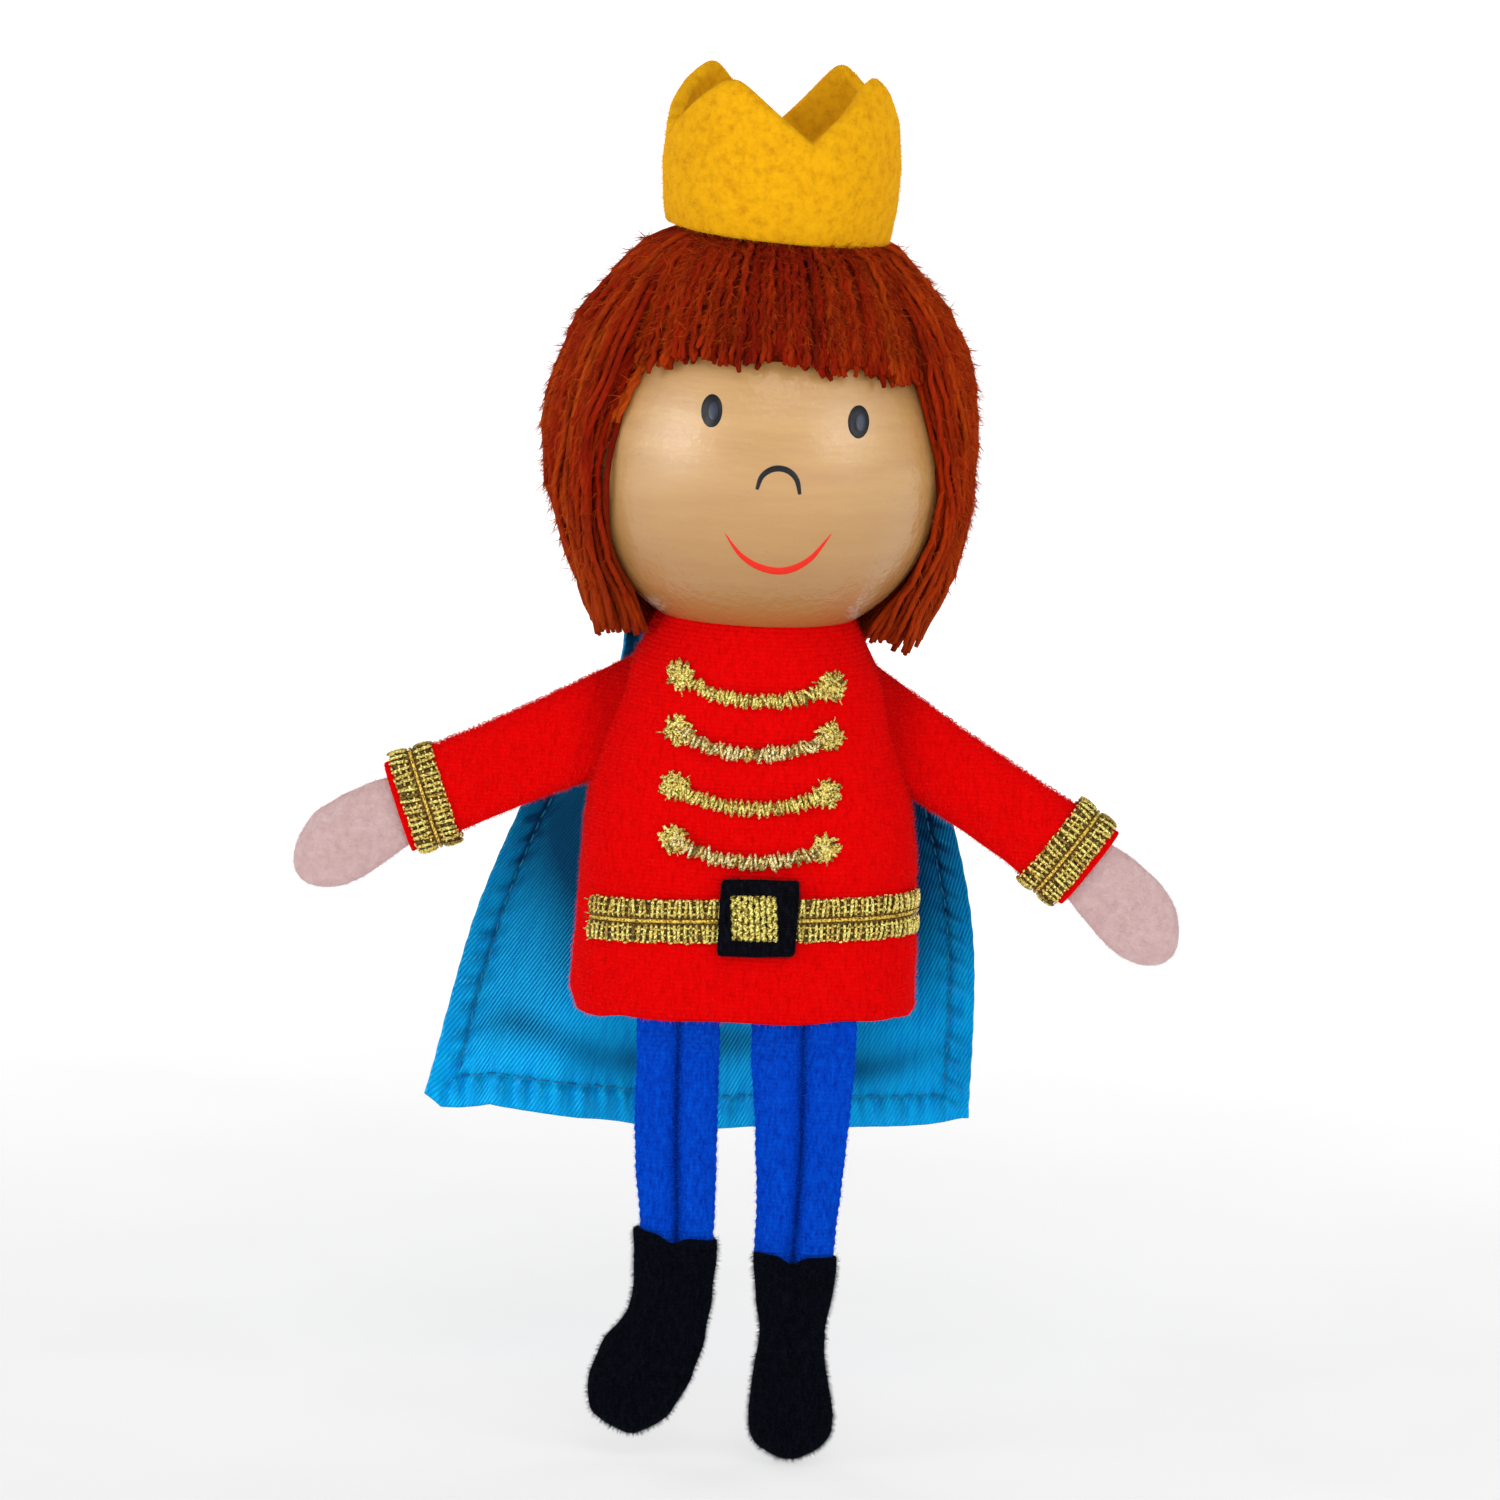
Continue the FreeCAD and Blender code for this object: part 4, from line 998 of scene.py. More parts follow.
def make_buckle():
    """A black woven patch, cut square, with a window where the braid stands out."""
    low, high = low_high("buckle")
    centre = (low + high) / 2
    size, hole, thick = (high[0] - low[0]) / 2 - 0.1, 2.5, 0.95
    a = turns(160)

    def square(half, power, skew=0.0):
        x = half * squared(np.cos(a), 2 / power)
        z = half * squared(np.sin(a), 2 / power)
        return x + skew * z, z + 0.03 * x

    rings = [(*square(size * share, 18, 0.02), rise)
             for share, rise in ((1.0, 0.0), (1.03, 0.35), (1.02, 0.75), (0.97, 1.0), (0.86, 1.1))]
    for share, rise in ((1.16, 1.1), (1.03, 1.0), (1.0, 0.7), (1.0, 0.1)):
        x, z = square(hole * share, 9, -0.08)
        rings.append((x - 0.42, z - 0.05, rise))
    front = front_of_tunic(centre[0], centre[2])[1] - 0.5
    lines = [
        np.stack([centre[0] + x, np.full_like(x, front - thick * rise), centre[2] + z], -1)
        for x, z, rise in rings
    ]
    fine = []
    for first, second in zip(lines, lines[1:] + lines[:1]):
        fine += [first + (second - first) * t for t in (0, 0.34, 0.67)]
    points = np.array(fine + fine[:1])
    rough = 0.07 * waves(points, 51, 0.9) + 0.07 * waves(points, 52, 3.0)
    points = points + rough[..., None] * unit(points - centre)
    points[-1] = points[0]
    skin = Skin()
    skin.grid(points, loop=True)
    thing = outward(skin.make("buckle_patch", PATCH))
    attach(thing, "torso", "black_trim", "buckle")
    fuzz = nap(thing, "buckle_threads", BLACK_FUZZ, 5000, 0.45, (0.3, 0, 0), seed=53)
    attach(fuzz, "torso", "black_trim")

    # the braid in the window: eight wavy lengths of bright thread held by cross stitches
    rng = np.random.default_rng(55)
    skin = Skin()
    z = np.linspace(-hole, hole, 24)
    lanes = []
    for lane in np.linspace(-0.9, 0.9, 8):
        x = centre[0] - 0.42 + lane * hole - 0.08 * z + 0.11 * np.sin(z * 5.5 + rng.uniform(0, 6))
        y = np.full_like(z, front - 0.50) - 0.10 * np.sin(z * 7.0 + rng.uniform(0, 6))
        lanes.append(np.stack([x, y, centre[2] + z], 1))
    skin.tubes(np.array(lanes), 0.25, 6, up=(0.0, -1.0, 0.0), tone=rng.uniform(0.7, 1.0, 8))
    for level in np.linspace(-2.2, 2.2, 8):
        x = centre[0] - 0.42 + np.linspace(-0.82, 0.82, 8) * hole - 0.08 * level
        start = np.stack([x - 0.2, np.full(8, front - 0.62), np.full(8, centre[2] + level)], 1)
        start = start + rng.normal(0, 0.04, start.shape)
        out = np.broadcast_to((0.0, -1.0, 0.0), start.shape)
        gold_stitches(skin, start, start + (0.42, 0, 0.1), out, 0.13, 0.10, rng, 5)
    thing = skin.make("buckle_window_braid", BRIGHT_GOLD)
    attach(thing, "torso", "gold_braid")


def make_frogging():
    """Swags of couched gold thread with a rosette at each end and loose thread ends."""
    rng = np.random.default_rng(61)
    facing = (0.0, -1.0, 0.0)

    def on_cloth(flat, lift):
        return front_of_tunic(flat[:, 0], flat[:, 1], lift)

    for row in range(1, 5):
        right, left = low_high(f"rosette_{row}_right"), low_high(f"rosette_{row}_left")
        start, end = [(low + high)[[0, 2]] / 2 for low, high in (right, left)]
        start = start + (-0.3, (0.0, 0.0, -0.2, -0.1)[row - 1])
        end = end + (0.0, (-0.5, 0.0, -0.3, -0.4)[row - 1])
        low_point = low_high(f"frog_{row}")[0][2] + 0.75
        middle = np.array([(start[0] + end[0]) / 2 - 0.1, low_point])
        first = start * 0.55 + middle * 0.45 + (0, (low_point - start[1]) * 0.27)
        second = end * 0.55 + middle * 0.45 + (0, (low_point - end[1]) * 0.27)
        count = 54
        path = curve([start, first, middle, second, end], count)
        spots = path + rng.normal(0, 0.10, path.shape)
        ahead = unit(np.gradient(path, axis=0))
        side = np.stack([-ahead[:, 1], ahead[:, 0]], 1) + ahead * rng.normal(0, 0.32, (count, 1))
        half = 0.78 + rng.normal(0, 0.11, (count, 1))
        lift = rng.uniform(0.1, 0.4, count)
        out = np.broadcast_to(facing, (count, 3))
        skin = Skin()
        skin.tubes(on_cloth(path, 0.2)[None], 0.52, 8, up=facing, flat=0.6, tone=0.1)
        near, far = on_cloth(spots - side * half, lift), on_cloth(spots + side * half, lift)
        gold_stitches(skin, near, far, out, 0.165, 0.62, rng, 9)
        material = PALE_GOLD if row in (2, 4) else GOLD
        thing = skin.make(f"frog_{row}_threads", material)
        attach(thing, "torso", "gold_braid", f"frog_{row}")
        for side_name, centre in (("right", start), ("left", end)):
            skin = Skin()
            turn = turns(20)
            circle = np.stack([np.cos(turn), np.sin(turn)], 1)
            disc = np.stack([centre + radius * circle for radius in (1.3, 1.1, 0.6, 0.05)])
            bulge = np.array([0.05, 0.35, 0.6, 0.65])[:, None]
            skin.grid(front_of_tunic(disc[..., 0], disc[..., 1], bulge), tone=0.0, loop=True)
            for reach, lift, number in ((1.65, 0.2, 19), (1.3, 0.5, 15), (0.8, 0.75, 9)):
                turn = np.arange(number) * 2 * math.pi / number + rng.normal(0, 0.15, number)
                way = np.stack([np.cos(turn), np.sin(turn)], 1)
                skew = np.stack([-way[:, 1], way[:, 0]], 1) * rng.normal(0, 1.0, (number, 1))
                far = centre + way * reach * rng.uniform(0.88, 1.06, (number, 1)) + skew * 0.35
                near = centre + way * (reach - 0.85) - skew * 0.35
                out = np.broadcast_to(facing, (number, 3))
                near, far = on_cloth(near, lift + 0.12), on_cloth(far, lift * 0.45)
                gold_stitches(skin, near, far, out, 0.17, 0.22, rng)
            loose = []
            for _ in range(2):
                turn = rng.uniform(0, 2 * math.pi)
                way = np.array([math.cos(turn), math.sin(turn)])
                reach = rng.uniform(1.7, 2.2)
                bend = np.array([-way[1], way[0]]) * rng.normal(0, 0.4)
                bent = way * reach * 0.7 + bend
                flat = centre + np.array([way * 0.8, bent, way * reach + bend * 1.6])
                line = on_cloth(curve(flat, 10), 0.0)
                line[:, 1] -= 0.35 + 0.3 * np.linspace(0, 1, 10)
                loose.append(line)
            skin.tubes(np.array(loose), 0.06, 4, tone=0.95)
            thing = skin.make(f"rosette_{row}_{side_name}_threads", GOLD)
            attach(thing, "torso", "gold_braid", f"rosette_{row}_{side_name}")


# ------------------------------------------------------------------ flattened tubes and pads


def flat_tube(top, bottom, depth, half_thick, rows, cols=64, power=2.4, crease=0.0, start=0.0, end=0.0):
    """Rings between an upper and a lower edge line (points along each), round in section.

    start and end are how much of the length is rounded off at each end. Returns rings of points."""
    top, bottom = curve(top, rows), curve(bottom, rows)
    share = np.linspace(0, 1, rows)
    mid, half = (top + bottom) / 2, (top - bottom) / 2
    near = np.clip(1 - share / start, 0, 1) if start else 0 * share
    far = np.clip(1 - (1 - share) / end, 0, 1) if end else 0 * share
    squeeze = np.sqrt(np.maximum(1 - np.maximum(near, far) ** 2, 0.0004))[:, None]
    a = turns(cols)
    cos, sin = np.cos(a), np.sin(a)
    across = squared(cos, 2 / power)
    deep = squared(sin, 2 / power) * (1 - crease * np.exp(-((across / 0.16) ** 2)))
    thick = np.interp(share, *np.array(half_thick).T)[:, None]
    points = np.zeros((rows, cols, 3))
    points[..., 0] = mid[:, :1] + half[:, :1] * squeeze * across
    points[..., 2] = mid[:, 1:] + half[:, 1:] * squeeze * across
    points[..., 1] = depth + thick * squeeze**0.8 * deep
    return points


def ease_edges(rings, amount, seed, size=3.0):
    """Pushes a surface in and out a little, away from its own middle."""
    middle = rings.mean(axis=1, keepdims=True)
    return rings + amount * waves(rings, seed, size)[..., None] * unit(rings - middle)


def arm_frame(side, sign):
    """The pivot, the way along the sleeve and the way across it."""
    spot = pivot(f"shoulder_raise_{side}")
    axis = np.array(JOINTS[f"wrist_{side}"]["axis"])
    across = axis * np.sign(axis[2])
    along = np.cross((0.0, sign, 0.0), across)
    along = along if along[0] * sign > 0 else -along
    return spot, unit(along), unit(across)


def make_arm(side, sign):
    spot, along, across = arm_frame(side, sign)
    wrist = float(np.dot(pivot(f"wrist_{side}") - spot, along))
    longer = 1.2 if side == "left" else 0.0
    cuff_end = wrist - 1.4 + longer
    high, low = np.array([sign * 13.0, 0, -4.0]), np.array([sign * 16.9, 0, -17.6])
    tilt = math.radians(0.0 if side == "left" else 6.0)
    slant = across * math.cos(tilt) - along * math.sin(tilt)
    far = spot + along * cuff_end - across * (0.3 if side == "left" else 0.0)
    far_high, far_low = far + slant * 5.15, far - slant * 4.85

    def edge(a, b, first, last, bow, n=5):
        t = np.linspace(first, last, n)[:, None]
        line = a + (b - a) * t
        line = line + across * bow * np.sin(math.pi * np.clip(t, 0, 1))
        return line[:, [0, 2]]

    parts = (("root", -0.07, 0.17, 30, 0.0), ("arm", 0.13, 1.0, 120, 0.05))
    for part, first, last, rows, swell in parts:
        top = edge(high, far_high, first, last, -0.35)
        bottom = edge(low, far_low, first, last, 0.25)
        where = [0, 0.1, 0.3, 1.0]
        thick = np.interp(np.linspace(first, last, 8), where, [4.2, 3.1, 2.25, 1.95]) + swell
        rings = flat_tube(top, bottom, 0.0, list(zip(np.linspace(0, 1, 8), thick)), rows)
        rings = ease_edges(rings, 0.10, 71 + rows, 4.0)
        if part == "arm":
            tuck = rings[-1]
            core = tuck.mean(axis=0)
            turned = ((0.985, -0.12), (0.94, -0.15), (0.88, 0.1), (0.8, 2.0))
            inward = [core + (tuck - core) * k - along * d for k, d in turned]
            rings = np.concatenate([rings, np.array(inward)])
        skin = Skin()
        # painted shade: the tone darkens towards the sleeve's seam at the body, where the body shades it
        from_seam = np.abs(rings[..., 0]) - 15.0
        skin.grid(rings, loop=True, tone=1 - 0.45 * np.exp(-((np.maximum(from_seam, 0) / 2.6) ** 2)))
        name = f"sleeve_{side}_cloth" if part == "arm" else f"sleeve_{side}_root"
        thing = outward(skin.make(name, RED))
        node = f"sleeve_{side}" if part == "arm" else f"shoulder_{side}"
        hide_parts(node)
        count = 9000 if part == "arm" else 2500
        fuzz = nap(thing, name + "_pile", RED_FUZZ, count, 0.6, seed=73 + rows,
                   keep=lambda at, normal: np.dot(at - spot, along) < cuff_end - 0.1)
        for piece in (thing, fuzz):
            if part == "arm":
                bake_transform(piece)
            else:
                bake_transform(piece)
        if part == "arm":
            rng = np.random.default_rng(77)
            count = 34
            t = np.linspace(0.16, 0.80, count)
            line = edge(high, far_high, 0, 1, -0.35, 200)
            at = np.stack([np.interp(t, np.linspace(0, 1, 200), line[:, k]) for k in (0, 1)], 1)
            start = np.stack([at[:, 0], np.full(count, -0.75), at[:, 1]], 1) - across * 0.55
            end = np.stack([at[:, 0], np.full(count, 0.75), at[:, 1]], 1) - across * 0.55
            shift = along * rng.normal(0.15, 0.35, (count, 1))
            loops = Skin()
            out = np.broadcast_to(across, (count, 3))
            gold_stitches(loops, start - shift, end + shift, out, 0.07, 0.72, rng, 9)
            stitches = loops.make(f"overlock_{side}", OVERLOCK)
            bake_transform(stitches)

    middle = far - along * (0.55 + 2.45)
    a = np.linspace(0, 2 * math.pi, 200)
    power = 2 / 2.6
    wide = 5.2 * squared(np.cos(a), power)
    deep = 2.05 * squared(np.sin(a), power)
    ring = middle + slant * wide[:, None] + np.array([0, 1.0, 0]) * deep[:, None]
    ring = curve(ring[::4], 200)
    normal = unit(np.cross(unit(np.gradient(ring, axis=0)), along))
    normal = normal * np.sign((normal * (ring - middle)).sum(1))[:, None]
    width_way = unit(np.cross(slant, (0.0, 1.0, 0.0)))
    width_way = np.broadcast_to(width_way, ring.shape)
    thing = braid(f"cuff_{side}_braid", ring, normal, width_way, 2.45, f"arm_{side}", seed=81, cord=0.18)
    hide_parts(f"cuff_{side}")

    # the hand's half width along its length, and how far it hangs below the sleeve's line
    reach = 13.0
    outline = [(-3.0, 3.0, 0.0), (0.0, 3.7, 0.1), (3.5, 4.2, 0.4), (7.5, 4.4, 0.9), (reach, 4.0, 1.8)]
    high_edge = [(far + along * s + across * (w - sag))[[0, 2]] for s, w, sag in outline]
    low_edge = [(far + along * s - across * (w + sag))[[0, 2]] for s, w, sag in outline]
    thick = [(0, 1.0), (0.3, 1.15), (0.8, 1.35), (1, 1.3)]
    rings = flat_tube(high_edge, low_edge, 0.0, thick, 90, power=2.3, start=0.05, end=0.38)
    rings = ease_edges(rings, 0.10, 91, 2.6)
    skin = Skin()
    skin.grid(rings, loop=True)
    thing = outward(skin.make(f"hand_{side}_felt", PINK_FELT))
    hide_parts(f"hand_{side}")
    fuzz = nap(thing, f"hand_{side}_fibres", PINK_FUZZ, 9000, 0.5, (0, 0, 0), seed=93)
    for piece in (thing, fuzz):
        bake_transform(piece)


# ------------------------------------------------------------------ legs and boots


# Each leg's and boot's edges at its own right and left, from above, across and up.
LEG_EDGES = {
    "right": ([(-10.8, -37.0), (-10.7, -43), (-10.4, -55), (-9.6, -63), (-9.5, -67.5)],
              [(-2.2, -37.0), (-1.9, -43), (-1.7, -55), (-1.6, -63), (-1.6, -67.5)]),
    "left": ([(1.6, -37.0), (1.4, -43), (2.4, -54), (2.8, -62), (2.7, -68.5)],
             [(12.3, -37.0), (12.6, -43), (12.1, -55), (11.4, -63), (11.0, -68.5)]),
}
BOOT_EDGES = {
    "right": ([(-10.2, -64.2), (-10.0, -68.2), (-10.3, -72.6), (-12.9, -76.6),
               (-14.2, -80.4), (-13.9, -84.0), (-11.4, -86.5)],
              [(-1.2, -65.2), (-1.3, -68.8), (-1.7, -73.4), (-2.6, -78.0),
               (-4.0, -81.6), (-5.8, -84.6), (-7.6, -86.5)]),
    "left": ([(2.7, -66.2), (3.0, -69.7), (3.7, -74.3), (3.3, -79),
              (3.0, -83), (3.3, -86.3), (4.8, -88.7)],
             [(11.6, -66.4), (11.5, -69.9), (10.7, -74.5), (11.1, -79),
              (11.9, -83), (11.8, -86.0), (10.4, -88.4)]),
}


def make_leg(side):
    hip, ankle = pivot(f"hip_{side}"), pivot(f"ankle_{side}")
    rows = 160
    share = np.linspace(0, 1, rows)
    thick = [(0, 0.55), (0.18, 0.65), (0.24, 1.5), (0.3, 1.8), (0.85, 1.75), (1, 1.2)]
    rings = flat_tube(*LEG_EDGES[side], 0.0, thick, rows, 96, power=2.2, crease=0.8, start=0.03, end=0.05)
    depth = np.interp(share, [0, 0.19, 0.27, 1], [-9.55, -9.75, hip[1], hip[1]])
    rings[..., 1] += depth[:, None]
    middle = rings.mean(axis=1, keepdims=True)
    half = np.abs(rings - middle).max(axis=1, keepdims=True)[..., :1]
    # painted shade: the tone darkens along the leg's middle crease
    crease_shade = 0.8 * np.exp(-(((rings[..., :1] - middle[..., :1]) / half / 0.07) ** 2))[..., 0]
    ribs = 0.05 * np.sin(rings[..., 2] * 2 * math.pi / 1.05 + 0.6 * np.sin(rings[..., 0] * 0.9))
    rings = rings + (ribs + 0.12 * waves(rings, 101, 5.0))[..., None] * unit(rings - middle)
    skin = Skin()
    skin.grid(rings, loop=True, tone=1 - crease_shade)
    thing = outward(skin.make(f"leg_{side}_cloth", BLUE))
    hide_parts(f"leg_{side}", f"leg_tab_{side}")
    # the pile stops short of the hem, where the legs go up inside
    fuzz = nap(thing, f"leg_{side}_pile", BLUE_FUZZ, 12000, 0.5, seed=103,
               keep=lambda at, normal: at[:, 2] < HEM - 0.5)
    for piece in (thing, fuzz):
        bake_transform(piece)

    thick = [(0, 2.2), (0.3, 2.1), (0.6, 2.4), (1, 2.2)]
    rings = flat_tube(*BOOT_EDGES[side], hip[1], thick, 110, power=2.3, crease=0.15, end=0.16)
    rings = ease_edges(rings, 0.16, 105, 3.0)
    core = rings[0].mean(axis=0)
    notch = 0.9 * np.exp(-(((rings[0, :, 0] - core[0] + 0.3) / 1.1) ** 2))
    rings[:8, :, 2] -= notch * np.linspace(1, 0, 8)[:, None] ** 0.8
    lip = [core + (rings[0] - core) * k + (0, 0, d) for k, d in ((0.72, -2.2), (0.86, 0.0), (0.95, 0.22))]
    skin = Skin()
    skin.grid(np.concatenate([np.array(lip), rings]), loop=True)
    thing = outward(skin.make(f"boot_{side}_cloth", BLACK))
    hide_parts(f"boot_{side}")
    fuzz = nap(thing, f"boot_{side}_pile", BLACK_FUZZ, 16000, 0.8, seed=107)
    for piece in (thing, fuzz):
        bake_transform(piece)


# ------------------------------------------------------------------ cape


def make_cape():
    """A satin cape with a turned and stitched hem, gathered at the neck."""
    back = low_high("cape")[0][1]
    rows, cols = 190, 240
    left_edge = [(-13.9, -3.0), (-14.8, -8.0), (-18.5, -14.5), (-23.4, -20.5), (-29.2, -35), (-33.9, -54.0)]
    right_edge = [(12.0, -3.4), (14.2, -8.5), (18.0, -14.0), (21.6, -20.4), (25.2, -36), (25.5, -55.9)]
    left_edge, right_edge = curve(left_edge, rows), curve(right_edge, rows)
    down = np.linspace(0, 1, rows)[:, None]
    over = np.linspace(0, 1, cols)
    x = left_edge[:, :1] + (right_edge[:, :1] - left_edge[:, :1]) * over
    z = left_edge[:, 1:] + (right_edge[:, 1:] - left_edge[:, 1:]) * over
    belly = np.sin(math.pi * over) ** 0.8
    z = z - down**2 * (1.9 * belly + 0.45 * np.sin(over * 17) * belly)
    corner = np.exp(-((over / 0.045) ** 2)) + np.exp(-(((1 - over) / 0.045) ** 2))
    droop = np.interp(over, [0, 0.03, 0.12, 0.28, 0.56, 0.8, 1], [2.2, 3.0, 1.0, 1.6, 0.9, 0.1, -0.2])
    z = z + 0.7 * corner * np.exp(-(((1 - down) / 0.05) ** 2)) - droop * down**4
    flat = np.stack([x, np.zeros_like(x), z], -1)
    width = np.linalg.norm(flat[:, -1] - flat[:, 0], axis=-1)[:, None]
    length = 49.0
    from_side = np.minimum(over, 1 - over) * width
    from_foot = (1 - down) * length
    hem = np.minimum(from_side, from_foot)
    folds = np.sin(over * 2 * math.pi * 2.5 + 0.6 + 0.5 * down) * (0.45 + 1.1 * down)
    gather = 0.55 * np.sin(over * 2 * math.pi * 9 + 1.5 * waves(flat, 116, 8.0)) * np.exp(-down * 5)
    turned = 0.30 / (1 + np.exp((hem - 2.9) * 5.0))
    stitch = -0.34 * np.exp(-(((hem - 2.7) / 0.28) ** 2))
    run = np.where(from_side < from_foot, down * length, over * width)
    ripple = np.sin(run * 2 * math.pi / 2.3 + 2.2 * waves(flat, 112, 9.0) + 1.1 * hem)
    pucker = 0.42 * ripple * (0.6 + 0.4 * waves(flat, 115, 6.0)) * np.exp(-(((hem - 2.0) / 1.5) ** 2))
    edge_wave = 0.35 * waves(flat, 113, 7.0) * np.exp(-((hem / 3.5) ** 2))
    soft = 0.20 * waves(flat, 114, 12.0)
    y = back + 1.7 + folds * 0.62 + gather + soft - turned - stitch * 0.9 + pucker + edge_wave
    # painted shade: the cloth's tone is darker towards its top and near the tunic and arms, where they
    # shadow it, along two soft fold lines, in its puckers and at the stitches; a painted highlight lightens
    # its top corner at the puppet's right
    behind = np.exp(-(((np.abs(x) - 17.5) / 3.5) ** 2)) * np.clip((z + 46) / 6, 0, 1)
    bright = np.interp(-z, [0, 12, 24, 34, 46], [0.35, 0.45, 0.62, 0.82, 1.0]) * (1 - 0.4 * behind)
    from_sides = np.clip(from_side / 8, 0, 1)
    fold_line_shade = np.exp(-(((from_foot - 6.5 - 1.2 * np.sin(over * 14)) / 1.5) ** 2)) * from_sides
    rolling_fold_shade = np.clip(waves(flat, 118, 15.0) + 0.15, 0, 1) * np.clip(from_foot / 6, 0, 1)
    # painted highlight: the satin is lightened at its gathered top corner at the puppet's right
    painted_corner_highlight = np.exp(-(((x + 14.2) / 1.6) ** 2)) * np.exp(-(((z + 5.0) / 2.2) ** 2))
    bright = bright - 0.36 * fold_line_shade - 0.42 * rolling_fold_shade + 0.8 * painted_corner_highlight
    hollow = np.clip(-ripple + 0.9 * waves(flat, 119, 4.0), 0, 1) * np.exp(-(((hem - 2.0) / 1.4) ** 2))
    bright = np.clip(bright - 0.16 * np.clip(-stitch / 0.34, 0, 1) - 0.22 * hollow, 0, 1)
    y = y - 1.25 * np.exp(-((down / 0.10) ** 2))
    y = y + (1.4 - 2.6 * np.abs(over - 0.45) ** 1.5 * 2) * down**1.5 * 0.9
    sheet = np.stack([x, y, z], -1)
    thick = 0.38
    normal = unit(np.cross(np.gradient(sheet, axis=1), np.gradient(sheet, axis=0)))
    inner = sheet + normal * thick
    skin = Skin()
    uv = np.stack(np.broadcast_arrays(over * 58.0, down * length), -1)
    closed = np.concatenate([sheet, inner[:, ::-1]], axis=1)
    uvs = np.concatenate([uv, uv[:, ::-1], uv[:, :1]], axis=1)
    skin.grid(closed, uv=uvs, loop=True, tone=np.concatenate([bright, bright[:, ::-1]], axis=1))
    for row in (0, -1):
        rim = np.stack([sheet[row], inner[row]])
        ends = np.stack([uv[row], uv[row]])
        skin.grid(rim if row else rim[::-1], uv=ends, tone=0.9)
    thing = outward(skin.make("satin_cape", SATIN))
    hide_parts("cape")
    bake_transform(thing)

    # topstitching, 2.7 mm in from the edge, on both faces
    inset = 2.7
    rows_at = np.interp(length - inset, down[:, 0] * length, np.arange(rows))
    foot = int(rows_at)
    seams = []
    for side in (0, 1):
        cells = inset / width[:foot, 0]
        j = np.round((cells if side == 0 else 1 - cells) * (cols - 1)).astype(int)
        seams.append((sheet[np.arange(foot), j], normal[np.arange(foot), j]))
    j0 = int(round(inset / width[foot, 0] * (cols - 1)))
    seams.append((sheet[foot, j0:cols - j0], normal[foot, j0:cols - j0]))
    threads = Skin()
    rng = np.random.default_rng(117)
    long, pitch = 1.1, 1.55
    for line, out in seams:
        run = distances(line)
        at = np.arange(0.4, run[-1] - 1.2, pitch)
        start, middle, end = (sample(out, run, at + share * long) for share in (0, 0.5, 1))
        for face, shift in ((-1, 0.0), (1, thick)):
            first = sample(line, run, at) + unit(start) * shift
            last = sample(line, run, at + long) + unit(end) * shift
            gold_stitches(threads, first, last, unit(middle) * face, 0.10, 0.10, rng, 6)
    thing = threads.make("cape_stitching", CAPE_THREAD)
    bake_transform(thing)


# ------------------------------------------------------------------ stage


def make_stage():
    """A wide, pale, round floor, brighter with distance, under a white dome that only the camera sees."""
    reach = np.array([20, 80, 160, 280, 450, 800, 1500, 4000.0])[:, None]
    glow = np.array([0.60, 0.60, 0.64, 0.75, 0.88, 1.0, 1.0, 1.0])[:, None]
    turn = turns(96)
    floor = CAD_BOX[0][2] / MM - 0.6
    points = np.stack([reach * np.cos(turn), reach * np.sin(turn), np.full((8, 96), floor)], -1)
    skin = Skin()
    skin.grid(points, loop=True, tone=glow)
    skin.add(points[0], [np.arange(96)[None]], [np.zeros((1, 96, 2))], tone=glow[0])
    skin.make("studio_floor", FLOOR)
    rise = np.linspace(0, 0.5 * math.pi, 24)[:, None]
    across, up = reach[-1] * np.cos(rise), floor + reach[-1] * np.sin(rise)
    skin = Skin()
    shell = np.stack([across * np.cos(turn), across * np.sin(turn), up + 0 * turn], -1)
    skin.grid(shell, loop=True, tone=1.0)
    dome = skin.make("studio_dome", FLOOR)
    dome.visible_diffuse = dome.visible_glossy = dome.visible_transmission = dome.visible_shadow = False


def lamp(name, place, size, power):
    """A round soft light that faces the puppet's neck."""
    data = bpy.data.lights.new(name, "AREA")
    data.shape, data.size, data.energy = "DISK", size, power
    thing = bpy.data.objects.new(name, data)
    bpy.context.collection.objects.link(thing)
    thing.rotation_euler = (-Vector(place)).to_track_quat("-Z", "Y").to_euler()
    thing.location = place
    return thing


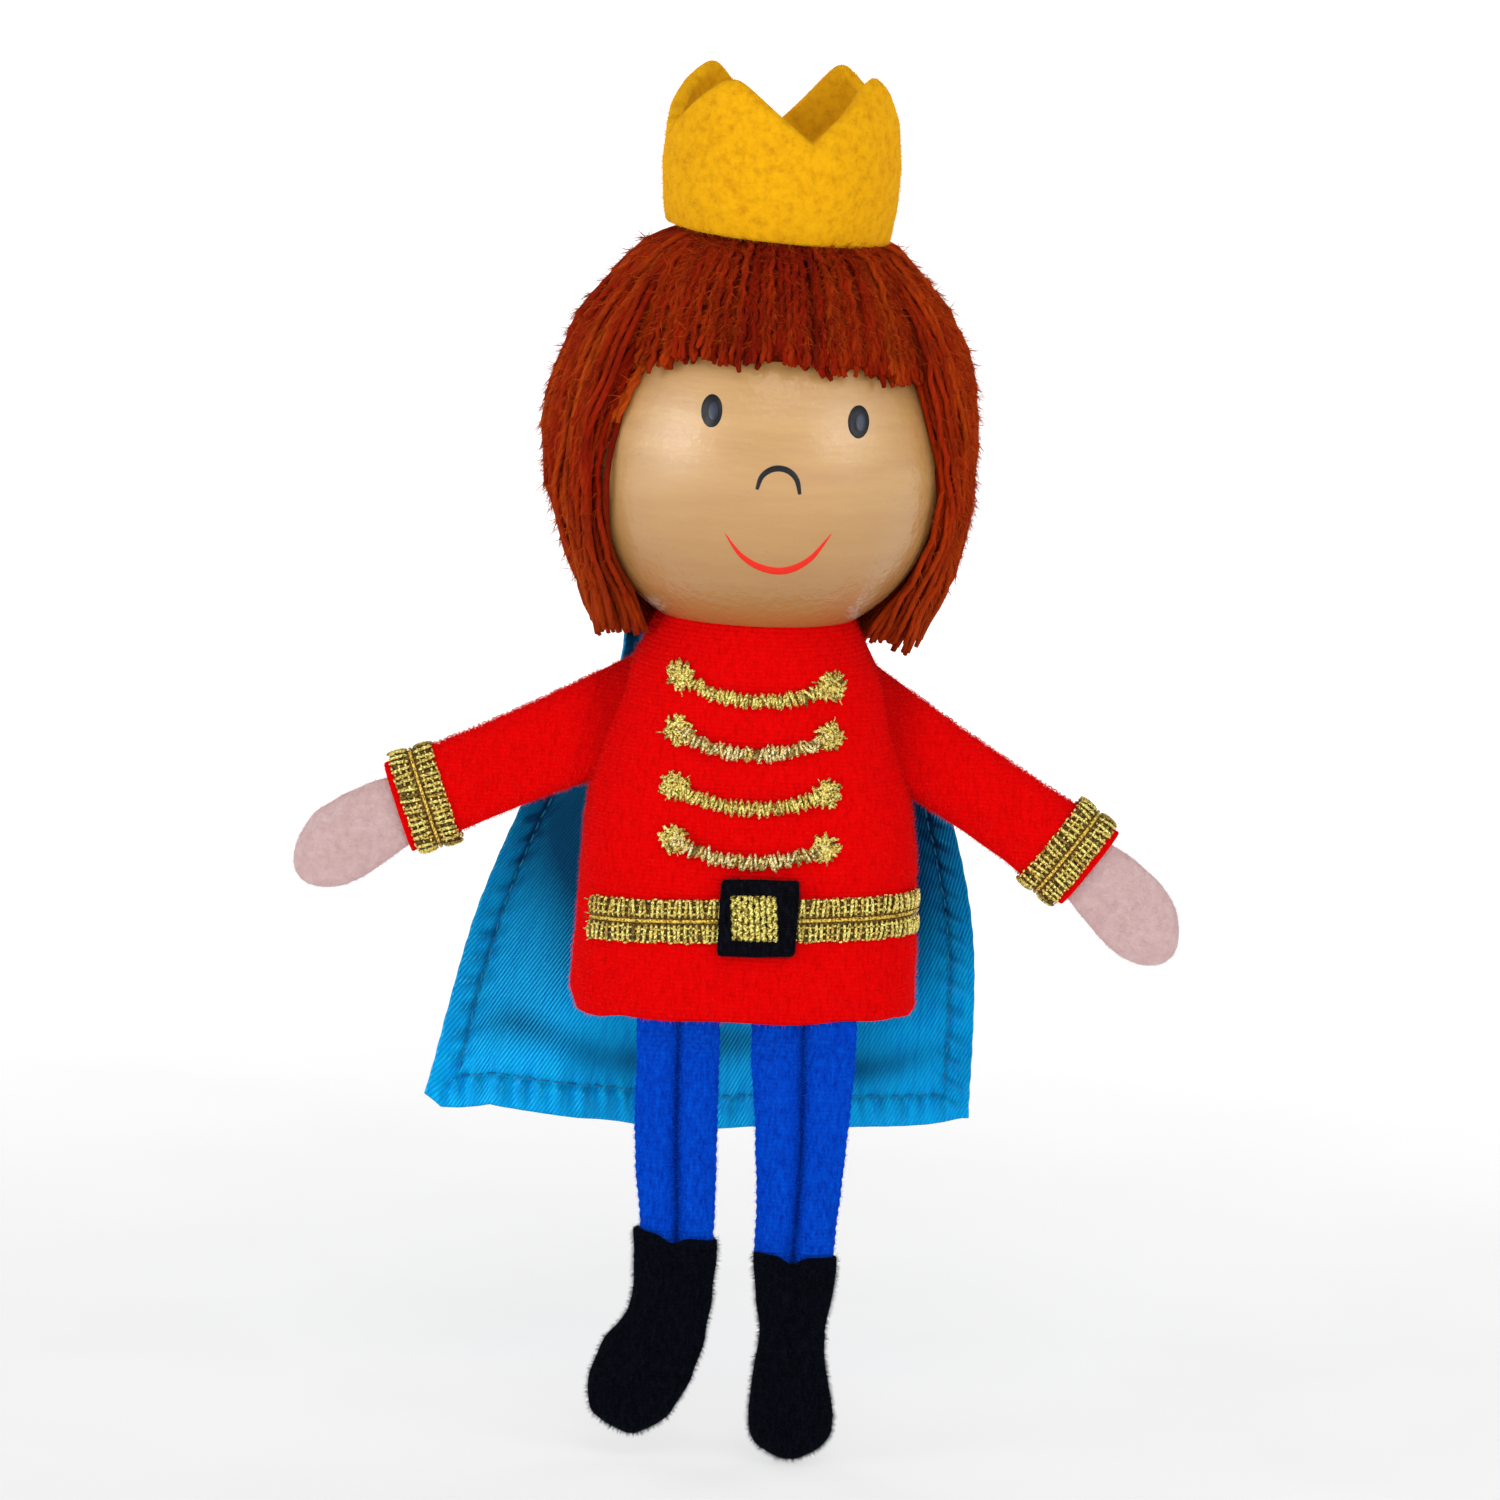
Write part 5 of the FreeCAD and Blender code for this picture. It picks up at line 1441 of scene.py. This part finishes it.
def make_lights():
    # Where each stands and its width in metres, its power in watts, and whether it lights
    # surfaces (diffuse), shows in their gloss (glossy) or does both.
    softboxes = (
        ("left_softbox", (-0.72, -0.50, 0.22), 0.42, 1.3, "diffuse"),
        ("right_softbox", (0.66, -0.53, 0.32), 0.36, 0.8, "diffuse"),
        ("left_shine", (-0.72, -0.50, 0.22), 0.40, 10.0, "glossy"),
        ("right_shine", (0.66, -0.53, 0.32), 0.34, 7.0, "glossy"),
        ("front_softbox", (0.10, -0.70, 0.80), 0.6, 1.5, "both"),
        ("front_fill", (0.0, -0.95, 0.16), 0.7, 2.1, "diffuse"),
        ("back_softbox_left", (0.60, 0.75, 0.45), 0.5, 1.6, "diffuse"),
        ("back_softbox_right", (-0.60, 0.75, 0.45), 0.5, 1.6, "diffuse"),
    )
    for name, place, size, power, kind in softboxes:
        thing = lamp(name, place, size, power)
        thing.visible_camera = False
        thing.visible_diffuse = kind != "glossy"
        thing.visible_glossy = kind != "diffuse"
    world = bpy.data.worlds.new("studio")
    bpy.context.scene.world = world
    world.use_nodes = True
    background = world.node_tree.nodes["Background"]
    background.inputs["Color"].default_value = (1, 1, 1, 1)
    background.inputs["Strength"].default_value = 0.44
    bpy.context.scene.view_settings.view_transform = "Standard"


def make_camera():
    """In front and a little above, rolled so that the puppet leans to the right."""
    roll_degrees, frame_height, distance, sensor = 2.6, 159.6, 900.0, 36.0
    rise, roll = math.radians(CAMERA_RISE), math.radians(roll_degrees)
    back = np.array([0, -math.cos(rise), math.sin(rise)])
    up = np.array([0, math.sin(rise), math.cos(rise)])
    right = np.array([1.0, 0, 0])
    tilted_right = math.cos(roll) * right + math.sin(roll) * up
    tilted_up = -math.sin(roll) * right + math.cos(roll) * up
    target = BALL_C + tilted_right * -1.5 + tilted_up * -31.4
    data = bpy.data.cameras.new("view")
    data.sensor_width = sensor
    data.lens = sensor * distance / frame_height
    data.clip_end = 10
    thing = bpy.data.objects.new("view", data)
    bpy.context.collection.objects.link(thing)
    place = (target + back * distance) * MM
    thing.matrix_world = Matrix([
        (tilted_right[0], tilted_up[0], back[0], place[0]),
        (tilted_right[1], tilted_up[1], back[1], place[1]),
        (tilted_right[2], tilted_up[2], back[2], place[2]),
        (0, 0, 0, 1),
    ])
    bpy.context.scene.camera = thing


make_ball()
make_face()
make_hair()
make_crown()
make_tunic()
make_belt()
make_buckle()
make_frogging()
for arm, arm_sign in SIDES:
    make_arm(arm, arm_sign)
    make_leg(arm)
make_cape()
make_stage()
make_lights()
make_camera()
